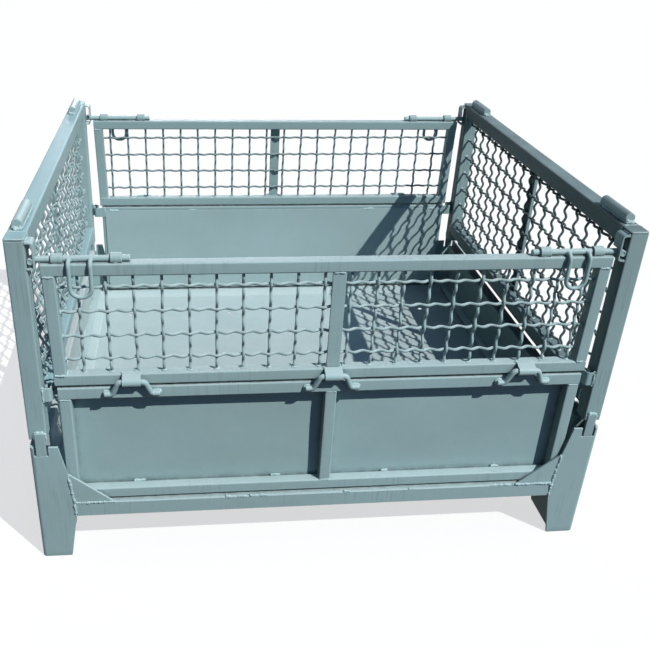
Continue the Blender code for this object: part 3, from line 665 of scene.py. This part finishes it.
def bolt_handle():
    """A U of round bar that hangs from the bolt in front of the gate's rail."""
    b = Build()
    start, low = MESH_Y + BOLT_R + GAP, BOLT_Z - HANDLE_DROP
    x0, x1 = HANDLE_X - HANDLE_W / 2, HANDLE_X + HANDLE_W / 2
    arm = [(x0, start, BOLT_Z), (x0, HANDLE_Y, BOLT_Z - GAP), (x0, HANDLE_Y, low)]
    top = rounded(arm, HANDLE_TURN, 5)[:-1]
    bend = [(x0, HANDLE_Y, BOLT_Z), (x0, HANDLE_Y, low), (x1, HANDLE_Y, low), (x1, HANDLE_Y, BOLT_Z)]
    loop = rounded(bend, HANDLE_BEND, 9)[1:-1]
    path = top + loop + [Vector((2 * HANDLE_X - p.x, p.y, p.z)) for p in reversed(top)]
    b.bar(path, HANDLE_R, 12)
    return b


def bolt_tip():
    """The bolt's end, bent forward, which a turn of the handle brings round to the slot in the catch."""
    b = Build()
    x, face = BOLT_TIP - TIP_BACK, MESH_Y + TIP_FACE

    def ring(y, part):
        return [(x + u * part, y, BOLT_Z + v * part) for u, v in rounded_rect(TIP_W, TIP_H, 0.005, 6)]

    b.loft([ring(MESH_Y - 0.0055, 0.75), ring(MESH_Y - 0.004, 1.0), ring(face - 0.001, 1.0), ring(face, 0.86),
            ring(face, 0.66), ring(face - TIP_DISH, 0.4)])
    return b


def handle_welds():
    """A bead round each end of the handle, where it meets the bolt."""
    b = Build()
    reach, y = 0.0040, MESH_Y + BOLT_R * 0.98 + 0.0006
    for side in (-1, 1):
        x = HANDLE_X + side * HANDLE_W / 2
        turns = [2 * math.pi * i / 12 for i in range(13)]
        circle = [(x + reach * math.cos(t), y, BOLT_Z + reach * math.sin(t)) for t in turns]
        b.weld(circle, 0.0013, 0.0026, 0.4)
    return b


# Panels

def panel_frame(off):
    """Square tubes, a middle upright, the end hooks and the pivot pins."""
    b = Build()
    mid = TUBE / 2
    low_y = MESH_Y + SHEET_GAP / 2
    for y, level, depth, height in ((low_y, PANEL_Z + mid, TUBE - SHEET_GAP, TUBE),
                                    (MESH_Y, PANEL_TOP - PANEL_RAIL_H / 2, TUBE, PANEL_RAIL_H)):
        b.tube((-PANEL_HALF, y, level), (PANEL_HALF, y, level), Y, depth, height, TUBE_R)
    low, top = PANEL_Z + TUBE - TUBE_SINK, PANEL_TOP - PANEL_RAIL_H + TUBE_SINK
    b.tube((off, MESH_Y, low), (off, MESH_Y, top), X, TUBE, PANEL_UPRIGHT_D, TUBE_R)
    hook = rounded([(HOOK_X, HOOK_Y, HOOK_Z), (HOOK_TIP, HOOK_Y, HOOK_Z),
                    (HOOK_TIP, HOOK_Y + HOOK_TURN, HOOK_Z)], HOOK_BEND)
    for side in (-1, 1):
        at = side * (PANEL_HALF - mid)
        b.tube((at, MESH_Y, low), (at, MESH_Y, top), Y, TUBE, TUBE, TUBE_R)
        b.strip([(side * p.x, p.y, p.z) for p in hook], Z, HOOK_H, STRIP_T)
        pin = [(side * (PANEL_HALF + x), PIVOT_Y, PIVOT_Z) for x in (PIVOT_IN, PIVOT_OUT)]
        b.bar(pin, PIVOT_R, 14, 0.0008)
    return b


def panel_sheet(seed):
    """The sheet on the frame's inner face, slightly out of flat."""
    b = Build()
    b.slab((-SHEET_HALF, SHEET_HALF), (SHEET_LOW, SHEET_TOP), SHEET_Y, SHEET_T,
           lambda u, v, w: Vector((u, w, v)), SHEET_CELLS, soft_dent(seed, DENT))
    return b


STITCH_LOW = (-0.376, -0.093, 0.141, 0.385)
STITCH_TOP = (-0.484, -0.251, 0.286, 0.484)
HOOK_BEAD_Z, HOOK_EDGE_Z = 0.4168, (0.390, 0.4145)


def panel_welds(off):
    """Beads at the corners, hooks, upright and hinge bars, and the stitches that hold the sheet."""
    b = Build()
    out, low, top = FACE - BEAD_SINK, PANEL_Z + TUBE, PANEL_TOP - PANEL_RAIL_H
    for side in (-1, 1):
        a, c = side * (PANEL_HALF - TUBE + 0.002), side * (PANEL_HALF - 0.002)
        for level in (low, top):
            b.weld_x(a, c, out, level, 0.0016)
        x0, x1, y = side * (HOOK_X - 0.0004), side * (PANEL_HALF - 0.001), INNER - BEAD_SINK
        b.weld_x(x0, x1, y, HOOK_BEAD_Z, BEAD)
        b.weld_z(x0, y, *HOOK_EDGE_Z, BEAD)
    for level in (low, top):
        b.weld_x(off - 0.0105, off + 0.0105, out - 0.001, level, THIN_BEAD)
    for at in STITCH_LOW:
        half = DRAW.uniform(0.008, 0.013)
        b.weld_x(at - half, at + half, INNER + 0.0012, low + 0.0004, 0.0028)
    for at in STITCH_TOP:
        half = DRAW.uniform(0.011, 0.017)
        b.weld_x(at - half, at + half, INNER - 0.001, SHEET_TOP, 0.0033, 0.006, 1.6)
    for at in (-HINGE_SIDE, 0, HINGE_SIDE):
        for side in (-1, 1):
            a, c = off + at + side * 0.034, off + at + side * (HINGE_SPAN + 0.001)
            for way in (-1, 1):
                b.weld_x(a, c, FACE + 0.0012, HINGE_FOOT_Z + way * 0.0046, FULL_BEAD)
            b.blob((c, FACE + 0.0016, HINGE_FOOT_Z), 0.0048, (0.6, 0.8, 1.1))
    return b


# End walls

def wall_frame():
    """Capped posts open below, two rails, the lip, the tongues and the outer stiffener."""
    b = Build()
    mid = POST / 2
    for end in (-1, 1):
        y = end * (POST_FACE - mid)
        b.tube((WALL_X, y, POST_Z), (WALL_X, y, WALL_TOP - CAP - TUBE_SINK), X, POST, POST, POST_R, 0.0006,
               (POST_WALL, POST_HOLLOW))
        b.tube((WALL_X, y, WALL_TOP - 0.008), (WALL_X, y, WALL_TOP - 0.001), X, NECK, NECK, POST_R)
        b.tube((WALL_X, y, WALL_TOP - CAP), (WALL_X, y, WALL_TOP), X, POST, POST, POST_R, 0.0009)
        y = end * TONGUE_Y
        b.tube((TONGUE_X, y, TONGUE_LOW), (TONGUE_X, y, TONGUE_TOP), X, TONGUE_W, TONGUE_T, 0.001)
    inside = POST_BACK + WIRE_SINK
    for level, height in ((WALL_TOP - mid, POST), (WALL_RAIL_Z + WALL_RAIL_H / 2, WALL_RAIL_H)):
        b.tube((WALL_X, -inside, level), (WALL_X, inside, level), X, POST, height, POST_R)
    b.tube((LIP_X, -inside, LIP_Z), (LIP_X, inside, LIP_Z), X, LIP_T, LIP_H, 0.0006)
    low, top = WALL_RAIL_Z + WALL_RAIL_H - TUBE_SINK, WALL_TOP - POST + TUBE_SINK
    b.tube((STIFFENER_X, 0, low), (STIFFENER_X, 0, top), Y, STIFFENER_W, STIFFENER_T, 0.001)
    return b


TAB_BEAD_Z, CATCH_BEAD_Y = (0.303, 0.3165), (0.463, 0.487)
POST_HOOK_BEADS_Z, POST_HOOK_BEAD_Y = (0.4188, 0.3872), (0.482, 0.4875)
POST_HOOK_EDGE_Y, POST_HOOK_EDGE_Z = 0.4878, (0.390, 0.416)
STIFFENER_BEAD_X, STIFFENER_BEAD_Y = (0.5712, 0.579), 0.0122


def wall_welds(lines):
    """Beads at the posts and all that is welded to them, and a spot at each wire's end."""
    b = Build()
    top, low = WALL_TOP - POST, WALL_RAIL_Z + WALL_RAIL_H
    tab = TONGUE_W / 2
    for end in (-1, 1):
        y = end * POST_BACK
        for x in (POST_IN + BEAD_SINK, HALF - BEAD_SINK):
            b.weld_z(x, y, WALL_RAIL_Z + 0.003, low - 0.003, THIN_BEAD)
            b.weld_z(x, y, top + 0.003, WALL_TOP - 0.003, 0.0017)
        b.weld_x(POST_IN + 0.004, HALF - 0.004, y, WALL_TOP - BEAD_SINK, 0.0016)
        b.weld_x(TONGUE_X - tab, TONGUE_X + tab, end * (POST_FACE + 0.0022), TONGUE_TOP + 0.0004, THICK_BEAD)
        for x in (TONGUE_X - tab - 0.001, TONGUE_X + tab + 0.001):
            b.weld_z(x, end * (POST_FACE + 0.0014), *TAB_BEAD_Z, 0.0024)
        for z in (CATCH_TOP + 0.0018, CATCH_LOW - 0.0018):
            b.weld_y(POST_IN - 0.0006, end * CATCH_BEAD_Y[0], end * CATCH_BEAD_Y[1], z, FULL_BEAD)
        for z in POST_HOOK_BEADS_Z:
            b.weld_y(POST_IN - 0.0008, end * POST_HOOK_BEAD_Y[0], end * POST_HOOK_BEAD_Y[1], z, FULL_BEAD)
        b.weld_z(POST_IN - 0.0006, end * POST_HOOK_EDGE_Y, *POST_HOOK_EDGE_Z, BEAD)
        for at, reach in zip(STACK_Y, (-1, 1)):
            y = end * (at + reach * 0.0006)
            b.weld_x(WALL_X - 0.0085, WALL_X + 0.0085, y, WALL_TOP + 0.0016, THICK_BEAD)
            for x in (-0.005, 0.001, 0.006):
                spot = (WALL_X + x, y, WALL_TOP + DRAW.uniform(0.003, 0.007))
                b.blob(spot, DRAW.uniform(0.0032, 0.0044), (1, 0.6, 1))
        for way in (-1, 1):
            b.weld_y(WALL_X + way * 0.0072, end * STACK_Y[0], end * STACK_Y[1], WALL_TOP + 0.0018, 0.003)
        b.weld_x(POST_IN + 0.003, HALF - 0.003, end * (POST_FACE - 0.001), WALL_TOP - 0.0006, 0.0013)
    for way in (-1, 1):
        for z in (low, top):
            b.weld_x(*STIFFENER_BEAD_X, way * STIFFENER_BEAD_Y, z, THIN_BEAD)
    for y in lines[0]:
        b.blob((WALL_X, y, low + 0.0004), SPOT_R, (1.1, 1.1, 0.6))
        b.blob((WALL_X, y, top - 0.0004), SPOT_R, (1.1, 1.1, 0.6))
    for z in lines[1]:
        for end in (-1, 1):
            b.blob((WALL_X, end * POST_BACK, z), SPOT_R, (1.1, 0.6, 1.1))
    return b


def bolt_catch():
    """A bent strip on the post, with a round hole for the bolt and a slot beside it for the bolt's tip."""
    b = Build()
    start = POST_IN - GAP
    path = [(start, MESH_Y, CATCH_TOP), (CATCH_WEB, MESH_Y, CATCH_TOP), (CATCH_WEB, MESH_Y, CATCH_LOW),
            (start, MESH_Y, CATCH_LOW)]
    b.strip(rounded(path, CATCH_BEND), Y, CATCH_W, STRIP_T)
    hole = Build()
    hole.bar([(CATCH_WEB + x, MESH_Y, BOLT_Z) for x in (-CUT, CUT)], BOLT_R + CATCH_PLAY, 24)
    whole = drilled(b.mesh("catch"), hole.mesh("hole"))
    slot = Build()
    slot.tube(*[(CATCH_WEB + x, SLOT_Y, BOLT_Z) for x in (-CUT, CUT)], Y, SLOT_W, SLOT_H, 0.003)
    return drilled(whole, slot.mesh("slot"))


def post_hook():
    """The hook on the post that holds the panel's hook."""
    b = Build()
    level, turn = POST_FACE - STRIP_T, POST_IN - POST_HOOK_L
    path = [(POST_IN - GAP, level, POST_HOOK_Z), (turn, level, POST_HOOK_Z),
            (turn, level - HOOK_TURN, POST_HOOK_Z)]
    b.strip(rounded(path, HOOK_BEND), Z, POST_HOOK_H, STRIP_T)
    return b


def stack_bar():
    """A round bar on the top rail."""
    b = Build()
    level = WALL_TOP + GAP + STACK_R
    y0, y1 = STACK_Y
    b.bar([(WALL_X, y, level) for y in (y0, y0 + 0.01, y1 - 0.01, y1)], STACK_R, 24, 0.0012)
    return b


# Base

def floor_sheet():
    """The floor, coved up to the rails along its edges, with two rows of drain holes."""
    b = Build()
    x, y = SIDE_IN - RAIL_W - GAP, FRONT - RAIL_W - GAP
    b.slab((-x, x), (-y, y), FLOOR_Z + FLOOR_T / 2, FLOOR_T, lambda u, v, w: Vector((u, v, w)),
           FLOOR_CELLS, lambda u, v: 0.0)
    top, high = FLOOR_Z + FLOOR_T, RAIL_TOP - 0.0008
    for sign in (-1, 1):
        for ends in ([(x, sign * y), (-x, sign * y)], [(sign * x, y), (sign * x, -y)]):
            inward = Vector((0, -sign, 0)) if ends[0][1] == ends[1][1] else Vector((-sign, 0, 0))
            rings = []
            for u, v in ends:
                edge, low = Vector((u, v, 0)), top - 0.0004
                rings.append([edge + Z * low, edge + Z * high, edge + Z * high + inward * COVE_LIP,
                              edge + Z * (top + COVE_UP) + inward * COVE_IN, edge + Z * low + inward * COVE])
            b.loft(rings)
    holes = Build()
    for i in range(DRAINS):
        for row in (-DRAIN_Y, DRAIN_Y):
            at = (i - (DRAINS - 1) / 2) * DRAIN_STEP
            holes.bar([(at, row, FLOOR_Z - 0.004), (at, row, FLOOR_Z + 0.006)], DRAIN_R, 20)
    return drilled(b.mesh("floor"), holes.mesh("holes"))


RAIL_BEADS = ((-0.20, -0.155), (-0.15, -0.11), (0.37, 0.424), (0.05, 0.066), (0.19, 0.205))
SIDE_BEADS, SIDE_BEAD_X, SIDE_BEAD_L = (-0.36, -0.18, 0.0, 0.18, 0.36), 0.5625, 0.03


def base_welds():
    """Beads round the gussets and feet, and short runs along the rails."""
    b = Build()
    foot_x, rail_z = GUSSET_FOOT
    for sy in (-1, 1):
        out, inner = sy * (FRONT - BEAD_SINK), sy * (FRONT - 0.0052)
        for sx in (-1, 1):
            foot = sx * foot_x
            b.weld([(foot, out, rail_z), (sx * GUSSET_TOP[0], out, GUSSET_TOP[1])], 0.003, 0.0052, 1.5)
            b.weld_z(foot, out, RAIL_Z + 0.001, RAIL_TOP - 0.001, 0.003, 0.005, 1.6)
            b.weld_x(sx * (foot_x - GUSSET_BEAD), foot, out, RAIL_TOP + 0.0004, 0.0026, 0.005, 1.5)
            b.weld_x(sx * (foot_x - GUSSET_BACK_BEAD), foot, inner, RAIL_TOP + 0.0006, 0.0022)
        for start, stop in RAIL_BEADS:
            b.weld([(-sy * start, sy * (FRONT - 0.002), RAIL_TOP - 0.0002),
                    (-sy * stop, sy * (FRONT - 0.001), RAIL_TOP - 0.0006)], 0.0022, 0.006, 2.0)
    for sx in (-1, 1):
        for y in SIDE_BEADS:
            at = y + DRAW.uniform(-0.02, 0.02)
            b.weld_y(sx * SIDE_BEAD_X, at, at + SIDE_BEAD_L, RAIL_TOP - 0.0002, 0.0024)
    return b


# Assembly

SHEET_SEED = 4.0
END_LOOKS = {"front": (FRAME_PAINT, SHEET_PAINT, WIRE_PAINT), "back": (BACK_FRAME, BACK_PAINT, SHADED_BACK_WIRE)}

for end, sy in ENDS.items():
    panel, gate = f"{end}_panel", f"{end}_gate"
    frame_look, sheet_look, wire_look = END_LOOKS[end]
    off = -sy * CENTRE_OFF
    piece(f"gate_tubes_{end}", gate_frame(off).mesh("gate", 1, sy), gate, frame_look,
          [f"gate_frame_{end}"])
    wires, lines = wire_mesh((TUBE - GATE_TOP_HALF, GATE_TOP_HALF - TUBE),
                             (GATE_Z + TUBE - WIRE_SINK, GATE_TOP - TUBE + WIRE_SINK),
                             GATE_WIRES, lambda u, v, w: Vector((u, MESH_Y + w, v)), off, MESH_RISE)
    piece(f"gate_wires_{end}", wires.mesh("wires", 1, sy), gate, wire_look,
          [f"gate_mesh_{end}"])
    piece(f"gate_welds_{end}", gate_welds(lines, off).mesh("welds", 1, sy), gate, WELD_PAINT)
    piece(f"panel_tubes_{end}", panel_frame(off).mesh("panel", 1, sy), panel, frame_look,
          [f"panel_frame_{end}"])
    piece(f"panel_plate_{end}", panel_sheet(SHEET_SEED + sy).mesh("sheet", 1, sy), panel, sheet_look,
          [f"panel_sheet_{end}"])
    piece(f"panel_welds_{end}", panel_welds(off).mesh("welds", 1, sy), panel, WELD_PAINT)
    for i, at in enumerate((off - HINGE_SIDE, off, off + HINGE_SIDE)):
        tag = f"{end}_{i + 1}"
        piece(f"hinge_rod_{tag}", hinge_bar(at).mesh("bar", 1, sy), panel, BRIGHT_PAINT,
              [f"hinge_bar_{tag}"])
        piece(f"hinge_leaf_{tag}", hinge_strap(at).mesh("strap", 1, sy), gate, BRIGHT_PAINT,
              [f"hinge_strap_{tag}"])
    for side, sx in SIDES.items():
        tag = f"{end}_{side}"
        bolt, handle = f"bolt_{tag}", f"handle_{tag}"
        piece(f"bolt_bar_{tag}", bolt_rod().mesh("rod", sx, sy), bolt, BRIGHT_PAINT,
              [f"bolt_rod_{tag}"])
        piece(f"bolt_loop_{tag}", bolt_handle().mesh("loop", sx, sy), handle, BRIGHT_PAINT,
              [f"bolt_handle_{tag}"])
        piece(f"bolt_tip_{tag}", bolt_tip().mesh("tip", sx, sy), handle, BRIGHT_PAINT)
        piece(f"loop_welds_{tag}", handle_welds().mesh("welds", sx, sy), handle, WELD_PAINT)

# The right wall's paints are shaded copies: darker, with painted shade on top
WALL_LOOKS = {"left": (LEFT_FRAME, LEFT_WIRE, BRIGHT_PAINT, BOARD_PAINT),
              "right": (SHADED_FRAME, SHADED_WIRE, SHADED_BRIGHT, SHADED_BOARD)}
for side, sx in SIDES.items():
    wall = f"{side}_wall"
    frame_look, wire_look, bright_look, board_look = WALL_LOOKS[side]
    piece(f"wall_tubes_{side}", wall_frame().mesh("wall", sx, 1), wall, frame_look,
          [f"wall_frame_{side}"])
    wires, lines = wire_mesh((-POST_BACK - WIRE_SINK, POST_BACK + WIRE_SINK),
                             (WALL_RAIL_Z + WALL_RAIL_H - WIRE_SINK, WALL_TOP - POST + WIRE_SINK),
                             WALL_WIRES, lambda u, v, w: Vector((WALL_X + w, u, v)))
    piece(f"wall_wires_{side}", wires.mesh("wires", sx, 1), wall, wire_look,
          [f"wall_mesh_{side}"])
    piece(f"wall_welds_{side}", wall_welds(lines).mesh("welds", sx, 1), wall, WELD_PAINT)
    for end, sy in ENDS.items():
        tag = f"{end}_{side}"
        catch = bolt_catch()
        catch.transform(Matrix.Diagonal((sx, sy, 1, 1)))
        if sx * sy < 0:
            catch.flip_normals()
        piece(f"catch_strip_{tag}", catch, wall, bright_look, [f"bolt_catch_{tag}"])
        piece(f"hook_strip_{tag}", post_hook().mesh("hook", sx, sy), wall, bright_look,
              [f"post_hook_{tag}"])
        piece(f"stack_rod_{tag}", stack_bar().mesh("stack", sx, sy), wall, bright_look,
              [f"stack_bar_{tag}"])
        piece(f"foot_plate_{tag}", refined(f"foot_{tag}", FOOT_EDGE), "base", FRAME_PAINT,
              [f"foot_{tag}"])
        piece(f"gusset_plate_{tag}", refined(f"gusset_{tag}", PLATE_EDGE), "base", FRAME_PAINT,
              [f"gusset_{tag}"])
    piece(f"board_{side}", refined(f"end_board_{side}", PLATE_EDGE), "base", board_look,
          [f"end_board_{side}"])

piece("base_frame", refined("base_rails", RAIL_EDGE), "base", FRAME_PAINT, ["base_rails"])
piece("floor_plate", floor_sheet(), "base", FLOOR_PAINT, ["floor_sheet"])
piece("base_welds", base_welds().mesh("welds"), "base", WELD_PAINT)


# Stage, light and camera

def seen_by_eye(n):
    """1 for rays that show the surface itself, 0 for the light it sends on."""
    path = n.add("ShaderNodeLightPath").outputs
    through = n.math("ADD", path["Is Glossy Ray"], path["Is Transmission Ray"])
    return n.math("ADD", path["Is Camera Ray"], through, clamp=True)


FLOOR_SHOWN, FLOOR_SENT = (0.94, 0.95, 0.95, 1), (0.06, 0.065, 0.07, 1)
FLOOR_GLOW, GROUND = 0.66, 30
ground_look = bpy.data.materials.new("ground")
ground_look.use_nodes = True
g = Nodes(ground_look.node_tree)
pale = g.add("ShaderNodeBsdfDiffuse", {"Color": FLOOR_SHOWN})
glow = g.add("ShaderNodeEmission", {"Color": (1, 1, 1, 1), "Strength": 1.0})
shown = g.add("ShaderNodeMixShader", {0: FLOOR_GLOW, 1: pale.outputs[0], 2: glow.outputs[0]})
sent = g.add("ShaderNodeBsdfDiffuse", {"Color": FLOOR_SENT})
both = g.add("ShaderNodeMixShader", {0: seen_by_eye(g), 1: sent.outputs[0], 2: shown.outputs[0]})
surface = ground_look.node_tree.nodes["Material Output"].inputs["Surface"]
ground_look.node_tree.links.new(both.outputs[0], surface)

ground = bpy.data.meshes.new("ground")
corners = [(-GROUND, -GROUND, 0), (GROUND, -GROUND, 0), (GROUND, GROUND, 0), (-GROUND, GROUND, 0)]
ground.from_pydata(corners, [], [(0, 1, 2, 3)])
ground.materials.append(ground_look)
ground_obj = bpy.data.objects.new("ground", ground)
bpy.context.scene.collection.objects.link(ground_obj)

SKY, SKY_LOW, SKY_HIGH = (0.34, 0.56, 1.0, 1), 0.02, 0.50
SKY_BRIGHT = (0.45, -0.35, 0.82)
world = bpy.data.worlds.new("studio")
bpy.context.scene.world = world
world.use_nodes = True
w = Nodes(world.node_tree)
toward = w.add("ShaderNodeVectorMath", {0: w.add("ShaderNodeTexCoord").outputs["Generated"], 1: SKY_BRIGHT},
               operation="DOT_PRODUCT").outputs["Value"]
lift = w.math("MULTIPLY_ADD", w.math("POWER", w.math("MAXIMUM", toward, 0.0), 2.0), SKY_HIGH - SKY_LOW)
lift.node.inputs[2].default_value = SKY_LOW
fill = w.add("ShaderNodeBackground", {"Color": SKY, "Strength": lift})
white = w.add("ShaderNodeBackground", {"Color": (1, 1, 1, 1), "Strength": 1.0})
both = w.add("ShaderNodeMixShader", {0: seen_by_eye(w), 1: fill.outputs[0], 2: white.outputs[0]})
world.node_tree.links.new(both.outputs[0], world.node_tree.nodes["World Output"].inputs["Surface"])


SUNLIGHT, COOL = (1.0, 0.985, 0.955), (0.85, 0.93, 1.0)


def sun(name, heading, strength, angle, colour):
    """A sun that shines along the heading. angle is how wide it looks, in degrees."""
    lamp = bpy.data.lights.new(name, "SUN")
    lamp.energy, lamp.angle, lamp.color = strength, math.radians(angle), colour
    obj = bpy.data.objects.new(name, lamp)
    obj.rotation_euler = Vector(heading).to_track_quat("-Z", "Y").to_euler()
    bpy.context.scene.collection.objects.link(obj)


sun("key", (-0.62, 0.65, -1.0), 3.9, 0.55, SUNLIGHT)
sun("back", (0.0, -1.0, -0.12), 1.2, 20, COOL)

# A low soft box at the left lights the outer face there. The end board keeps it off the floor inside
SOFT_BOX, SOFT_BOX_W, SOFT_BOX_H, SOFT_BOX_WATTS = (-1.75, 0.1, 0.17), 1.4, 0.25, 6.0
lamp = bpy.data.lights.new("left", "AREA")
lamp.shape, lamp.size, lamp.size_y, lamp.energy = "RECTANGLE", SOFT_BOX_H, SOFT_BOX_W, SOFT_BOX_WATTS
lamp.color = COOL
soft_box = bpy.data.objects.new("left", lamp)
soft_box.location, soft_box.rotation_euler = SOFT_BOX, (0, math.radians(-90), 0)
soft_box.visible_camera = False
bpy.context.scene.collection.objects.link(soft_box)

# The fitted camera, in metres, radians and pixels of a picture SHOT wide
EYE = (-0.26756, -1.76394, 1.27385)
YAW, PITCH_UP, ROLL = 0.1076, -0.4702, 0.0311
SHOT, FOCAL, CENTRE_X, CENTRE_Y = 650, 789.70, 264.76, 289.41
SENSOR = 36.0
lens = bpy.data.cameras.new("camera")
lens.sensor_width, lens.lens = SENSOR, FOCAL / SHOT * SENSOR
lens.shift_x, lens.shift_y = (SHOT / 2 - CENTRE_X) / SHOT, (CENTRE_Y - SHOT / 2) / SHOT
lens.clip_end = 100
camera = bpy.data.objects.new("camera", lens)
level = math.cos(PITCH_UP)
ahead = Vector((math.sin(YAW) * level, math.cos(YAW) * level, math.sin(PITCH_UP)))
right = Vector((math.cos(YAW), -math.sin(YAW), 0))
above = right.cross(ahead)
turned_right = right * math.cos(ROLL) + above * math.sin(ROLL)
turned_up = above * math.cos(ROLL) - right * math.sin(ROLL)
axes = Matrix((turned_right, turned_up, -ahead)).transposed().to_4x4()
camera.matrix_world = Matrix.Translation(EYE) @ axes
bpy.context.scene.collection.objects.link(camera)
bpy.context.scene.camera = camera
bpy.context.scene.view_settings.view_transform = "Standard"
